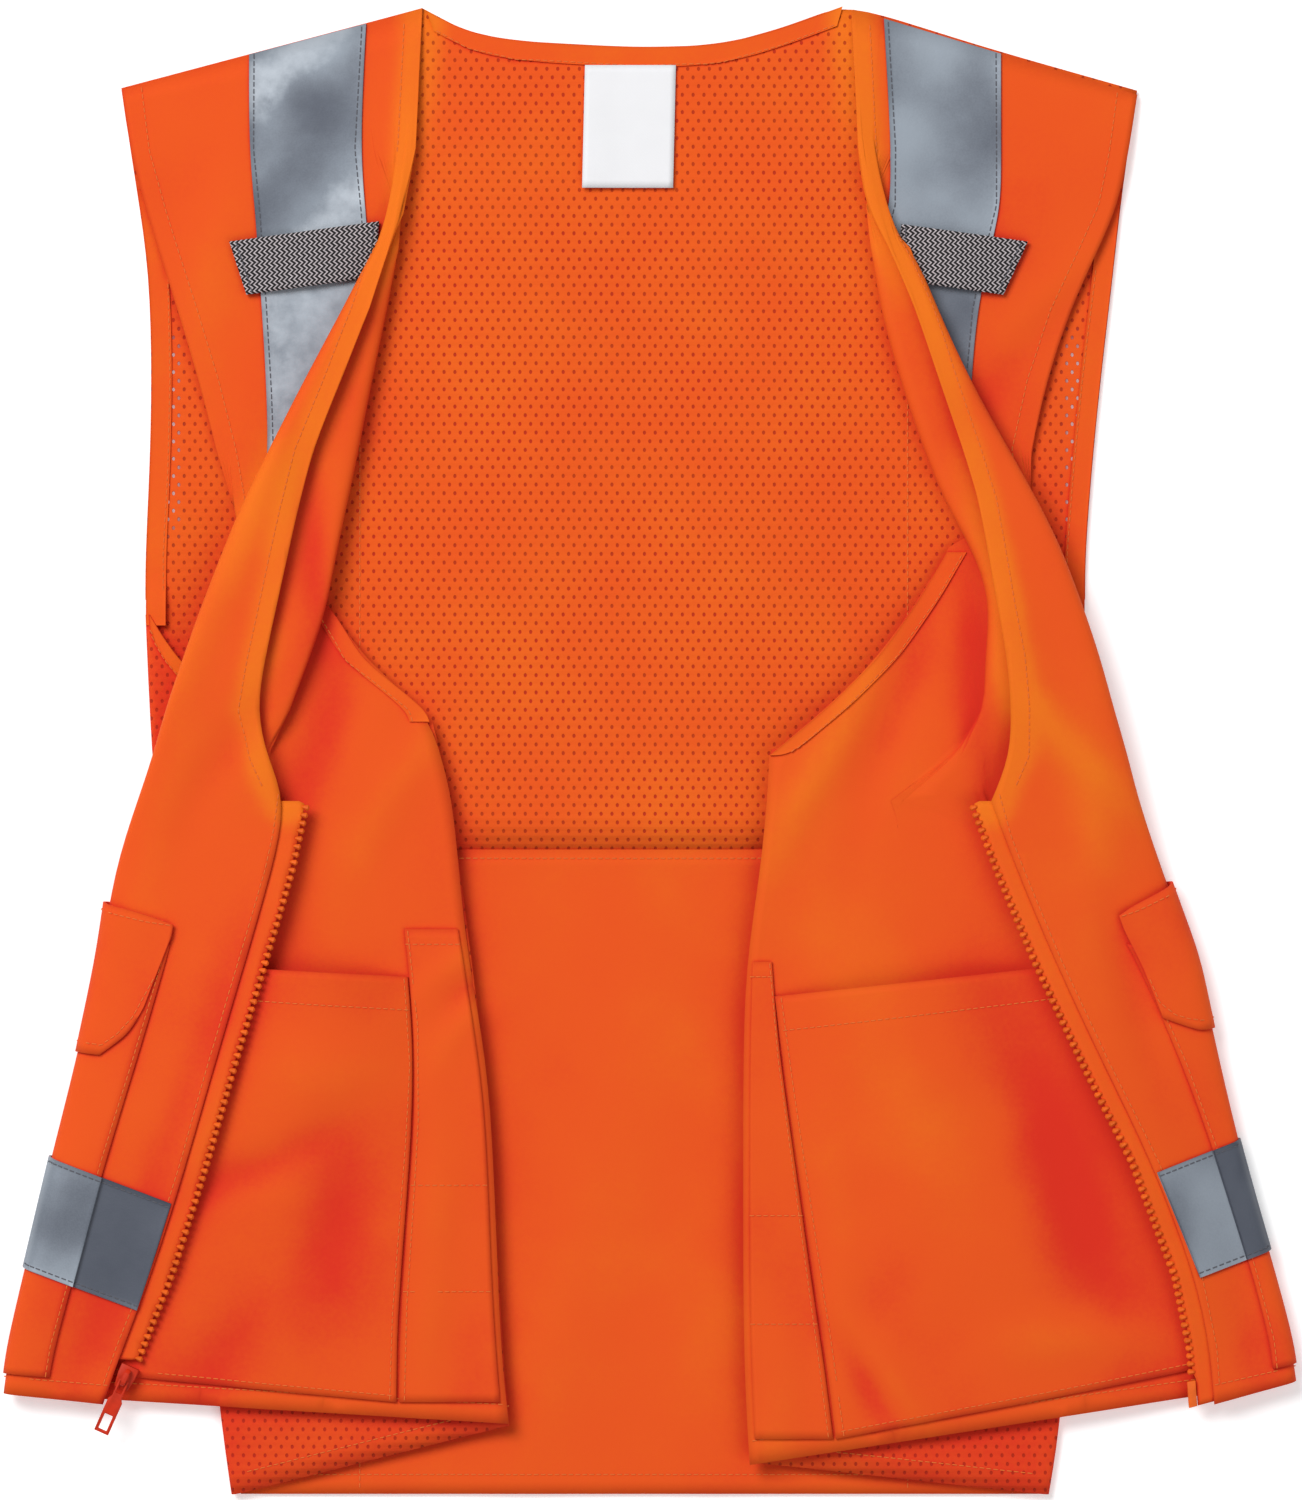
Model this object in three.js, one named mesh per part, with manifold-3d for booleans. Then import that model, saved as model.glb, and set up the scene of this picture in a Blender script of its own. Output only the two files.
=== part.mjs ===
// Surveyor's safety vest, laid open on its back with both fronts turned out and folded back.
// Millimetres, +Z up, the neck towards +Y. Left and right are as seen from above.
import * as THREE from 'three';
import Module from 'manifold-3d';
import { mergeVertices } from 'three/addons/utils/BufferGeometryUtils.js';

const wasm = await Module();
wasm.setup();

// Driving sizes
const CLOTH = 1.2; // wall of the woven and mesh panels
const TAPE = 1.0; // wall of the reflective tape, the bindings and the label
const WEBBING = 1.2; // wall of the grey tabs
const GAP = 0.4; // clearance between sewn layers
const TAPE_WIDTH = 51; // two-inch reflective tape
const BINDING_WIDTH = 9.5;
const SEAM_GAP = 0.8; // between panels that are sewn edge to edge
const EDGE_INSET = 0.4; // a binding stands in this far from the edge it covers
const BACK_UNDERSIDE = TAPE + 0.3; // the back lies on the two tapes sewn to it
const BACK_TOP = BACK_UNDERSIDE + CLOTH;
const SIDE_FOLD_HEIGHT = 3.9; // the mesh side turns over from the back to this far above it
const POCKET_BULGE = 9; // how far the mouth of a wide inner pocket stands open
const TAB_BOW = 2; // the free middle of a webbing tab stands up this far
const ZIP_OVERLAP = 5; // zip tape under the front edge
const ZIP_REACH = 7.4; // zip tape beyond the front edge
const CHAIN_WIDTH = 3; // row of zip teeth
const CHAIN_WALL = 2.4;
const CHAIN_GAP = 0.3; // between the zip tape and its teeth
const PIN = { extra: 0.8, lift: 0.4 }; // the pin below the teeth is wider and thicker than they are

const HALF = CLOTH / 2;
const ON_CLOTH = HALF + GAP; // first layer sewn to a panel, from the panel's middle
const ON_POCKET = ON_CLOTH + CLOTH + GAP; // second layer, sewn over a pocket

// Colours
const ORANGE = 0xe85d1e;
const ORANGE_TRIM = 0xee6a1c;
const SILVER = 0xa3afba;
const GREY = 0x77787a;
const WHITE = 0xf2f0ec;

const table = (columns, rows) =>
  rows.map((row) => Object.fromEntries(columns.map((name, i) => [name, row[i]])));

// Heights of the front's layers at each station, from the shoulder to the hem. A front runs from its
// armhole or side edge (A) over a hidden fold (P), a visible fold (R) and the outer fold (L) to the front
// edge (N). z is the cloth's height on arriving at a fold and h the fold's own height, 0 where it lies flat.
const HEIGHTS = table(['zA', 'zP', 'hP', 'zR', 'hR', 'zL', 'hL', 'zN'], [
  [3.5, 3.5, 0, 3.5, 0, 3.5, 0, 3.5],
  [5.6, 6, 0, 6, 0, 7.5, 0, 9],
  [6, 6.5, 0, 6.5, 0, 11, 0, 13],
  [6, 6.5, 0, 6.5, 5, 11.5, 5, 17],
  [6, 6.5, 0, 6.5, 7, 13, 7, 20.5],
  [6, 6.5, 0, 6.5, 8, 13.5, 8, 22],
  [6, 6.5, 0, 7, 8, 13.5, 8, 22],
  [4, 8, 0, 8.5, 8, 14, 8, 23],
  [5.5, 5.5, 6, 11.5, 7, 15, 8, 25],
  [9, 9, 6, 15, 6, 15, 9, 26],
  [10, 10, 6, 16, 6, 15, 9, 26],
  [11, 10.5, 5, 15.5, 5, 14, 9, 25],
  [12, 11, 0, 15, 0, 12, 9, 24],
  [12, 12.5, 0, 11.5, 0, 9.5, 9, 23],
  [12, 12, 0, 11, 0, 6.5, 9, 23],
  [12, 12, 0, 11, 0, 5, 9, 24],
  [12, 12, 0, 11, 0, 4.8, 9, 24],
  [12, 12, 0, 11, 0, 4.8, 9, 23],
  [12, 12, 0, 11, 0, 4.8, 9, 19],
  [12, 12, 0, 11, 0, 4.8, 9, 15.5],
  [12, 12, 0, 11, 0, 4.8, 9, 14],
]);

// Plan of each front at the same stations: the X of every edge and fold, and the Y at A, L and N
const FRONT_COLUMNS = ['yA', 'A', 'P', 'R', 'L', 'yL', 'N', 'yN'];
const LEFT_FRONT = table(FRONT_COLUMNS, [
  [305, -244, -209, -134, -118, 338.5, -105, 342],
  [276, -240, -201, -127, -117, 277, -108, 277],
  [247, -232, -196, -115, -116, 247, -114, 247],
  [231, -227, -194, -116, -127, 231, -120, 231],
  [203, -218, -189, -121, -141, 203, -129, 203],
  [170, -208, -185, -128, -159, 170, -142, 170],
  [138, -200, -192, -134, -175, 138, -155, 138],
  [110, -191, -191, -140, -189, 110, -162, 110],
  [87, -170, -188, -145, -198, 87, -167, 87],
  [64, -146, -185, -149, -207, 64, -172, 64],
  [41, -132, -183, -157, -215, 41, -177, 41],
  [18, -103, -181, -166, -223, 18, -181, 18],
  [-4, -96, -175, -177, -229, -4, -176, -4],
  [-24, -91, -172, -195, -236, -24, -167, -24],
  [-56, -88, -152, -227, -247, -56, -174, -56],
  [-97, -84, -152, -223, -253, -97, -186, -97],
  [-144, -75, -152, -218, -263, -144, -200, -144],
  [-192, -72, -152, -213, -275, -190, -213, -190],
  [-248, -70, -150, -208, -287, -241, -229, -241],
  [-285, -68, -148, -203, -295, -274, -243, -276],
  [-311, -65, -146, -201, -298, -297, -252, -302],
]);
const RIGHT_FRONT = table(FRONT_COLUMNS, [
  [302, 225, 190, 122, 106, 338, 93, 341],
  [276, 221, 182, 114, 104, 277, 96, 277],
  [251, 216, 178, 100, 101, 251, 99, 251],
  [231, 207, 176, 102, 121, 231, 110, 231],
  [203, 194, 166, 106, 132, 203, 122, 203],
  [170, 183, 157, 115, 147, 170, 133, 170],
  [138, 176, 169, 126, 165, 138, 144, 138],
  [115, 175, 175, 135, 178, 115, 151, 115],
  [93, 138, 169, 148, 189, 93, 155, 93],
  [69, 124, 166, 157, 198, 69, 159, 69],
  [43, 106, 166, 154, 207, 43, 164, 43],
  [20, 83, 165, 154, 213, 20, 166, 20],
  [-3, 55, 139, 142, 220, -3, 166, -3],
  [-24, 54, 108, 118, 225, -24, 157, -24],
  [-56, 51, 106, 203, 236, -56, 169, -56],
  [-100, 44, 106, 204, 251, -97, 186, -97],
  [-146, 43, 106, 203, 261, -144, 208, -144],
  [-199, 43, 106, 201, 272, -190, 231, -190],
  [-259, 43, 106, 199, 286, -238, 251, -242],
  [-298, 44, 106, 196, 295, -271, 258, -276],
  [-330, 46, 106, 194, 298, -291, 260, -302],
]);
const FOLD_POINTS = { P: 3, R: 4, L: 5 }; // points round each fold
const RUN_POINTS = [2, 2, 4, 4]; // points between the edges and folds
const FLAT_STEP = 3; // spacing of a fold's points where it lies flat

// Plan of the back: the armhole edges from shoulder tip to underarm, and the side folds from there to the hem
const BACK_EDGES = table(['y', 'left', 'right'], [
  [304, -244, 225],
  [258, -237, 218],
  [220, -231, 214],
  [170, -230, 208],
  [129, -231, 204],
  [90, -233, 201],
  [69, -233, 201],
]);
const SIDE_FOLDS = table(['y', 'left', 'right'], [
  [69, -233, 201],
  [-4, -230, 200],
  [-56, -225, 199],
  [-116, -218, 197],
  [-208, -208, 194],
  [-303, -199, 191],
  [-344, -193, 184],
]);
const BACK_TOP_EDGE = table(['x', 'y'], [
  [-244, 304],
  [-174, 323.5],
  [-105, 342],
  [-86, 332],
  [-64, 327],
  [-7, 324],
  [32, 325],
  [61, 333],
  [91, 344],
  [158, 323],
  [225, 304],
]);
const NECK = { left: -103, right: 89, taper: 0.97 }; // ends of the neck binding, and its narrower inner edge
const BACK_BINDING_TOP = 260; // the armhole bindings of the back end here, under the fronts
const BACK_SEAM_Y = -48; // mesh above, solid cloth below
const UNDERARM_ROWS = [20, 66]; // rows of the mesh back between that seam and the underarm
const HEM_Y = -344;
const SIDE_SEAM_INSET = 4; // from the side fold to the seam under it

// Front edge of each mesh side, and its Y at the fold and at that edge
const SIDE_ROWS = table(['yFold', 'yLeft', 'left', 'yRight', 'right'], [
  [62, 12, -100, 0, 56],
  [0, -19, -93, -24, 54],
  [-56, -56, -88, -56, 51],
  [-130, -134, -77, -134, 43],
  [-215, -218, -71, -218, 43],
  [-303, -282, -68, -292, 44],
  [-344, -312, -65, -329, 47],
]);
const UNDERARM_POWER = 5; // how sharply the underarm edge turns in from the fold
const SIDE_RISE = 1.4; // the mesh side climbs this far to its front edge
const SIDE_RUN = [0.06, 0.16, 0.3, 0.5, 0.72, 0.9]; // its points between the fold and that edge
const SIDE_STATIONS = { underarm: 11, below: 15 }; // stations of the front that its rows meet

// Sewn edges measured along the cloth from a fold or an edge of the front
const POCKET_EDGES = table(['y', 'left', 'right'], [
  [-62, 35, 34],
  [-90, 34, 32],
  [-137, 30, 20],
  [-191, 27, 13.5],
  [-250, 24.5, 11.5],
  [-297, 22, 12.5],
]);
const FLAP_EDGES = {
  left: table(['along', 'top', 'bottom'], [
    [-60, -72, -140],
    [0, -71, -140],
    [12, -74, -141],
    [26, -78, -129],
    [34.5, -81, -86],
  ]),
  right: table(['along', 'top', 'bottom'], [
    [-60, -63, -128],
    [0, -62, -129],
    [8, -66, -130],
    [24, -73, -124],
    [31, -77, -84],
  ]),
};
const WAIST_TAPE_TOP = { left: -188, right: -180 }; // at the outer fold
const WAIST_TAPE_SLANT = 0.34; // fall of the tape towards the front edge
const WAIST_TAPE_UNDER_SLANT = 0.05;
// Waist tape past the pocket's edge, beside that edge, and from the front edge
const WAIST_TAPE = { over: 1, start: 0.4, end: 2 };
const SHOULDER_TAPE = table(['station', 'outer', 'inner'], [
  [0.006, 59, 113],
  [1, 55, 106],
  [2, 50, 101],
  [3, 46, 97],
  [4, 39, 86],
  [5, 31, 68],
  [6, 24, 54],
  [6.5, 20, 44],
]);
const SHOULDER_TAPE_SHIFT = { left: 0, right: 4 };
const WIDE_POCKETS = {
  left: table(['y', 'side', 'front'], [[-104, 29, 118], [-298, 51, 192]]),
  right: table(['y', 'side', 'front'], [[-108, 13, 153], [-212, 28, 205], [-300, 40, 226]]),
};
const WIDE_POCKET_ENDS = {
  left: { topSide: -105, topFront: -100, endSide: -301, endFront: -288 },
  right: { topSide: -114, topFront: -99, endSide: -318, endFront: -283 },
};
const PEN_POCKET_TOP = { left: -83, right: -98 };
const PEN_POCKET = { inset: 3, gap: 1.2 }; // from the side edge, and from the wide pocket
const TAB = { from: 34, top: 229.5, bottom: 205, slant: 0.13 };
const TAB_END = { left: [106, 97], right: [96, 88] }; // along the cloth, at the tab's top and bottom
const BACK_TAPES = { left: [-183, -132], right: [117, 168] };
const LABEL = { left: -30, right: 12, top: 312.5, bottom: 259 };

// Numbers between the rows of a table
const between = (rows, key, value, column) => {
  const step = Math.sign(rows[rows.length - 1][key] - rows[0][key]);
  let i = rows.findIndex((row) => (row[key] - value) * step > 0);
  if (i < 0) i = rows.length - 1;
  i = Math.max(i, 1);
  const [a, b] = [rows[i - 1], rows[i]];
  const t = THREE.MathUtils.clamp((value - a[key]) / (b[key] - a[key]), 0, 1);
  return THREE.MathUtils.lerp(a[column], b[column], t);
};
const lerp = THREE.MathUtils.lerp;
const span = (from, to, count) => Array.from({ length: count }, (_, i) => lerp(from, to, i / (count - 1)));

// Closed solid from two matching grids of points, turned so that its faces point out
const solidBetween = (upper, lower) => {
  const rows = upper.length;
  const cols = upper[0].length;
  const points = [...upper.flat(), ...lower.flat()];
  const at = (i, j, low) => (low ? rows * cols : 0) + i * cols + j;
  const faces = [];
  const quad = (a, b, c, d) => faces.push(a, b, c, a, c, d);
  for (let i = 0; i < rows - 1; i++) {
    for (let j = 0; j < cols - 1; j++) {
      quad(at(i, j), at(i, j + 1), at(i + 1, j + 1), at(i + 1, j));
      quad(at(i, j, 1), at(i + 1, j, 1), at(i + 1, j + 1, 1), at(i, j + 1, 1));
    }
  }
  for (let j = 0; j < cols - 1; j++) {
    quad(at(0, j), at(0, j, 1), at(0, j + 1, 1), at(0, j + 1));
    quad(at(rows - 1, j), at(rows - 1, j + 1), at(rows - 1, j + 1, 1), at(rows - 1, j, 1));
  }
  for (let i = 0; i < rows - 1; i++) {
    quad(at(i, 0), at(i + 1, 0), at(i + 1, 0, 1), at(i, 0, 1));
    quad(at(i, cols - 1), at(i, cols - 1, 1), at(i + 1, cols - 1, 1), at(i + 1, cols - 1));
  }
  let volume = 0;
  for (let f = 0; f < faces.length; f += 3) {
    const [a, b, c] = [points[faces[f]], points[faces[f + 1]], points[faces[f + 2]]];
    volume += a.dot(new THREE.Vector3().crossVectors(b, c));
  }
  if (volume < 0) faces.reverse();
  const geometry = new THREE.BufferGeometry().setFromPoints(points);
  geometry.setIndex(faces);
  return geometry;
};

// Flat sheet over a grid of [x, y] places
const flatSheet = (grid, low, high) =>
  solidBetween(
    grid.map((row) => row.map(([x, y]) => new THREE.Vector3(x, y, high))),
    grid.map((row) => row.map(([x, y]) => new THREE.Vector3(x, y, low))),
  );

// Points of one fold: an arc where the cloth turns back, or a short stretch where it lies flat
const foldPoints = (before, fold, after, count) => {
  const middle = (count - 1) / 2;
  return Array.from({ length: count }, (_, i) => {
    if (fold.h > 0) {
      const way = Math.sign(fold.x - before.x);
      const angle = -Math.PI / 2 + (Math.PI * i) / (count - 1);
      const r = fold.h / 2;
      return { x: fold.x - way * r + way * r * Math.cos(angle), z: fold.z + r + r * Math.sin(angle) };
    }
    const towards = i < middle ? before : after;
    const length = Math.hypot(towards.x - fold.x, towards.z - fold.z);
    const t = Math.min((FLAT_STEP * Math.abs(i - middle)) / length, 0.3 * Math.abs(i - middle) / middle);
    return { x: lerp(fold.x, towards.x, t), z: lerp(fold.z, towards.z, t) };
  });
};

// One section of a front: points from A to N, and how far along the cloth each lies
const frontSection = (plan, height) => {
  const edgeA = { x: plan.A, z: height.zA };
  const edgeN = { x: plan.N, z: height.zN };
  const folds = ['P', 'R', 'L'].map((name) => ({
    name, x: plan[name], z: height[`z${name}`], h: height[`h${name}`],
  }));
  const groups = folds.map((fold, i) => {
    const before = i > 0 ? { x: folds[i - 1].x, z: folds[i - 1].z + folds[i - 1].h } : edgeA;
    const after = i < 2 ? folds[i + 1] : edgeN;
    return foldPoints(before, fold, after, FOLD_POINTS[fold.name]);
  });
  const path = [edgeA];
  let foldIndex = 0;
  [...groups, [edgeN]].forEach((group, i) => {
    const from = path[path.length - 1];
    for (let k = 1; k <= RUN_POINTS[i]; k++) {
      const t = k / (RUN_POINTS[i] + 1);
      path.push({ x: lerp(from.x, group[0].x, t), z: lerp(from.z, group[0].z, t) });
    }
    if (i === 2) foldIndex = path.length + Math.floor(FOLD_POINTS.L / 2);
    path.push(...group);
  });
  const flat = [0];
  for (let k = 1; k < path.length; k++) {
    flat.push(flat[k - 1] + Math.hypot(path[k].x - path[k - 1].x, path[k].z - path[k - 1].z));
  }
  const atFold = flat[foldIndex];
  const points = path.map(({ x, z }, k) => {
    const y = flat[k] <= atFold
      ? lerp(plan.yA, plan.yL, flat[k] / atFold)
      : lerp(plan.yL, plan.yN, (flat[k] - atFold) / (flat[flat.length - 1] - atFold));
    return new THREE.Vector3(x, y, z);
  });
  return { points, along: flat, starts: { A: 0, L: atFold, N: flat[flat.length - 1] } };
};

// Whole front: its sections, and the outward normal at each point
const makeFront = (plans, turn) => {
  const sections = plans.map((plan, i) => frontSection(plan, HEIGHTS[i]));
  const last = sections.length - 1;
  sections.forEach((section, i) => {
    const above = sections[Math.max(i - 1, 0)].points;
    const below = sections[Math.min(i + 1, last)].points;
    section.normals = section.points.map((_, j) => {
      const end = section.points.length - 1;
      const across = section.points[Math.min(j + 1, end)].clone().sub(section.points[Math.max(j - 1, 0)]);
      const down = below[j].clone().sub(above[j]);
      return across.cross(down).normalize().multiplyScalar(turn);
    });
  });
  return sections;
};

// Place on a section, a distance along the cloth from A, L or N, past N in a straight line
const onSection = (section, from, distance) => {
  const { points, normals, along } = section;
  const s = section.starts[from] + distance;
  let k = along.findIndex((value) => value > s);
  if (k < 0) k = along.length - 1;
  k = Math.max(k, 1);
  const t = (s - along[k - 1]) / (along[k] - along[k - 1]);
  const turn = THREE.MathUtils.clamp(t, 0, 1);
  return {
    point: points[k - 1].clone().lerp(points[k], t),
    normal: normals[k - 1].clone().lerp(normals[k], turn),
  };
};
const onFront = (front, station, from, distance) => {
  const i = Math.min(Math.floor(station), front.length - 2);
  const a = onSection(front[i], from, distance);
  const b = onSection(front[i + 1], from, distance);
  const t = station - i;
  return { point: a.point.lerp(b.point, t), normal: a.normal.lerp(b.normal, t).normalize() };
};
const stationAt = (front, y, from, distance) => {
  const heights = front.map((section) => onSection(section, from, distance).point.y);
  let i = heights.findIndex((value) => value < y);
  if (i < 0) i = heights.length - 1;
  i = Math.max(i, 1);
  return i - 1 + (y - heights[i - 1]) / (heights[i] - heights[i - 1]);
};

// Sewn-on layer: place(row, col) gives [station, distance], low and high are heights above the cloth
const layer = (front, from, rows, cols, place, low, high) => {
  const height = (value, i, j) => (typeof value === 'function' ? value(i, j) : value);
  const spots = rows.map((row, i) => cols.map((col, j) => {
    const [station, distance] = place(row, col, i, j);
    return onFront(front, station, from, distance);
  }));
  const lifted = (value) => spots.map((line, i) => line.map(({ point, normal }, j) =>
    point.clone().addScaledVector(normal, height(value, i, j))));
  return solidBetween(lifted(high), lifted(low));
};

// Front panel
const frontPanel = (front) => {
  const lifted = (height) => front.map(({ points, normals }) =>
    points.map((point, j) => point.clone().addScaledVector(normals[j], height)));
  return solidBetween(lifted(HALF), lifted(-HALF));
};

// Lower pocket outside: from under the outer fold, round it, to its sewn edge on the front
const ROUND_FOLD = [-64, -44, -26, -15, -7, -3.5, 0, 3.5, 7];
const POCKET_STATIONS = [14.83, 15, 16, 17, 18, 19, 19.6];
const outerPocket = (front, side) => {
  const cols = [...ROUND_FOLD, 1];
  return layer(front, 'L', POCKET_STATIONS, cols, (station, col, i, j) => {
    const edge = between(POCKET_EDGES, 'y', onFront(front, station, 'L', 0).point.y, side);
    return [station, j === cols.length - 1 ? edge : Math.min(col, edge - 1)];
  }, ON_CLOTH, ON_CLOTH + CLOTH);
};

const pocketFlap = (front, side) => {
  const edges = FLAP_EDGES[side];
  const end = edges[edges.length - 1].along;
  const cols = [...ROUND_FOLD, 12, 18, 24, 28, end];
  return layer(front, 'L', span(0, 1, 5), cols, (t, along) => {
    const y = lerp(between(edges, 'along', along, 'top'), between(edges, 'along', along, 'bottom'), t);
    return [stationAt(front, y, 'L', along), along];
  }, ON_POCKET, ON_POCKET + CLOTH);
};

// Waist tape: one length over the pocket, one on the front between the pocket and the zip
const waistTapeY = (side, along, t) => {
  const slant = along > 0 ? WAIST_TAPE_SLANT : -WAIST_TAPE_UNDER_SLANT;
  return WAIST_TAPE_TOP[side] - slant * along - t * TAPE_WIDTH;
};
const pocketEdge = (side, t) => {
  const middle = between(POCKET_EDGES, 'y', waistTapeY(side, 0, t), side);
  return between(POCKET_EDGES, 'y', waistTapeY(side, middle, t), side);
};
const waistTapePocket = (front, side) => {
  const cols = [...ROUND_FOLD, 1];
  return layer(front, 'L', span(0, 1, 3), cols, (t, col, i, j) => {
    const edge = pocketEdge(side, t) + WAIST_TAPE.over;
    const distance = j === cols.length - 1 ? edge : Math.min(col, edge - 1);
    return [stationAt(front, waistTapeY(side, distance, t), 'L', distance), distance];
  }, ON_POCKET, ON_POCKET + TAPE);
};
const foldToEdge = (front, y) => {
  const station = stationAt(front, y, 'L', 0);
  const i = Math.min(Math.floor(station), front.length - 2);
  const [a, b] = [front[i], front[i + 1]].map(({ starts }) => starts.N - starts.L);
  return lerp(a, b, station - i);
};
const waistTapeFront = (front, side) =>
  layer(front, 'L', span(0, 1, 3), span(0, 1, 4), (t, across) => {
    const start = pocketEdge(side, t) + WAIST_TAPE.start;
    const end = foldToEdge(front, waistTapeY(side, start, t)) - WAIST_TAPE.end;
    const distance = lerp(start, end, across);
    return [stationAt(front, waistTapeY(side, distance, t), 'L', distance), distance];
  }, ON_CLOTH, ON_CLOTH + TAPE);

// Pockets inside
const widePocket = (front, side) => {
  const rows = span(0, 1, 8);
  const cols = span(0, 1, 9);
  const ends = WIDE_POCKET_ENDS[side];
  const bulge = (i, j) => POCKET_BULGE * Math.sin(Math.PI * cols[j]) * (1 - rows[i]) ** 0.8;
  return layer(front, 'A', rows, cols, (t, across) => {
    const y = lerp(lerp(ends.topSide, ends.topFront, across), lerp(ends.endSide, ends.endFront, across), t);
    const distance = lerp(
      between(WIDE_POCKETS[side], 'y', y, 'side'), between(WIDE_POCKETS[side], 'y', y, 'front'), across);
    return [stationAt(front, y, 'A', distance), distance];
  }, (i, j) => -ON_CLOTH - bulge(i, j), (i, j) => -ON_CLOTH - CLOTH - bulge(i, j));
};
const penPocket = (front, side) =>
  layer(front, 'A', span(0, 1, 7), span(0, 1, 3), (t, across) => {
    const y = lerp(PEN_POCKET_TOP[side], WIDE_POCKET_ENDS[side].endSide, t);
    const end = between(WIDE_POCKETS[side], 'y', y, 'side') - PEN_POCKET.gap;
    const distance = lerp(PEN_POCKET.inset, end, across);
    return [stationAt(front, y, 'A', distance), distance];
  }, -ON_CLOTH, -ON_CLOTH - TAPE);

// Armhole binding on the inside of the front, from where it comes out of the pleat to the side seam
const FRONT_BINDING = {
  left: [8.6, 9, 9.5, 10, 10.5, 11, 11.25],
  right: [8.1, 8.5, 9, 9.5, 10, 10.5, 11, 11.5, 12],
};
const frontBinding = (front, side) =>
  layer(front, 'A', FRONT_BINDING[side], [EDGE_INSET, BINDING_WIDTH], (station, distance) =>
    [station, distance], -ON_CLOTH, -ON_CLOTH - TAPE);

// Shoulder tape and the webbing tab across it
const shoulderTape = (front, side) => {
  const shift = SHOULDER_TAPE_SHIFT[side];
  return layer(front, 'A', SHOULDER_TAPE, span(0, 1, 3), (row, across) =>
    [row.station, lerp(row.outer, row.inner, across) + shift], ON_CLOTH, ON_CLOTH + TAPE);
};
const micTab = (front, side) => {
  const cols = span(0, 1, 7);
  const foot = ON_CLOTH + TAPE + GAP;
  const bow = (i, j) => foot + TAB_BOW * Math.sin(Math.PI * cols[j]) ** 2;
  return layer(front, 'A', span(TAB.top, TAB.bottom, 3), cols, (y, across) => {
    const end = lerp(...TAB_END[side], (TAB.top - y) / (TAB.top - TAB.bottom));
    const distance = lerp(TAB.from, end, across);
    return [stationAt(front, y + TAB.slant * distance, 'A', distance), distance];
  }, bow, (i, j) => bow(i, j) + WEBBING);
};

// Zip tape under the front edge, the row of teeth along it, and the pin at the foot of the right-hand teeth
const TAPE_END = { left: 19.2, right: 19.95 };
const TEETH_END = { left: 19.317, right: 19.5 };
const PIN_STATIONS = [TEETH_END.right + 0.015, 19.95];
const CHAIN_LOW = -ON_CLOTH - TAPE / 2 - CHAIN_WALL / 2;
const CHAIN_START = ZIP_REACH + CHAIN_GAP;
const ZIP_STATIONS = [13, 13.5, 14, 15, 16, 17, 18, 18.6, 19, 19.5];
const zipStations = (last) => [...ZIP_STATIONS.filter((station) => station < last), last];
const alongEdge = (station, distance) => [station, distance];
const zipTape = (front, side) =>
  layer(front, 'N', zipStations(TAPE_END[side]), [-ZIP_OVERLAP, -HALF, ZIP_REACH], alongEdge,
    -ON_CLOTH, -ON_CLOTH - TAPE);
const zipTeeth = (front, side) =>
  layer(front, 'N', zipStations(TEETH_END[side]), [CHAIN_START, CHAIN_START + CHAIN_WIDTH], alongEdge,
    CHAIN_LOW, CHAIN_LOW + CHAIN_WALL);
const zipPin = (front) =>
  layer(front, 'N', PIN_STATIONS, [CHAIN_START, CHAIN_START + CHAIN_WIDTH + PIN.extra], alongEdge,
    CHAIN_LOW - PIN.lift, CHAIN_LOW + CHAIN_WALL + PIN.lift);

// Back: mesh above the seam, solid cloth below, each a grid between its four edges
const topEdgeY = (x) => between(BACK_TOP_EDGE, 'x', x, 'y');
const backMesh = () => {
  const lower = [
    [BACK_SEAM_Y + SEAM_GAP, ...['left', 'right'].map((side) => seamX(BACK_SEAM_Y, side))],
    ...UNDERARM_ROWS.map((y) => [y, ...['left', 'right'].map((side) => seamX(y, side))]),
  ];
  const sides = [...lower, ...[...BACK_EDGES].reverse().map(({ y, left, right }) => [y, left, right])];
  const xs = BACK_TOP_EDGE.flatMap(({ x }, i) =>
    (i < BACK_TOP_EDGE.length - 1 ? [x, (x + BACK_TOP_EDGE[i + 1].x) / 2] : [x]));
  const [west, east] = [xs[0], xs[xs.length - 1]];
  const grid = sides.map(([y, left, right], i) => xs.map((x) => {
    const u = (x - west) / (east - west);
    const lift = (topEdgeY(x) - BACK_EDGES[0].y) * (i / (sides.length - 1)) ** 2;
    return [lerp(left, right, u), y + lift];
  }));
  return flatSheet(grid, BACK_UNDERSIDE, BACK_TOP);
};
const seamX = (y, side) =>
  between(SIDE_FOLDS, 'y', y, side) + (side === 'left' ? SIDE_SEAM_INSET : -SIDE_SEAM_INSET);
const backLower = () => {
  const rows = span(BACK_SEAM_Y, HEM_Y, 7);
  const grid = rows.map((y) => span(seamX(y, 'left'), seamX(y, 'right'), 9).map((x) => [x, y]));
  return flatSheet(grid, BACK_UNDERSIDE, BACK_TOP);
};

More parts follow.
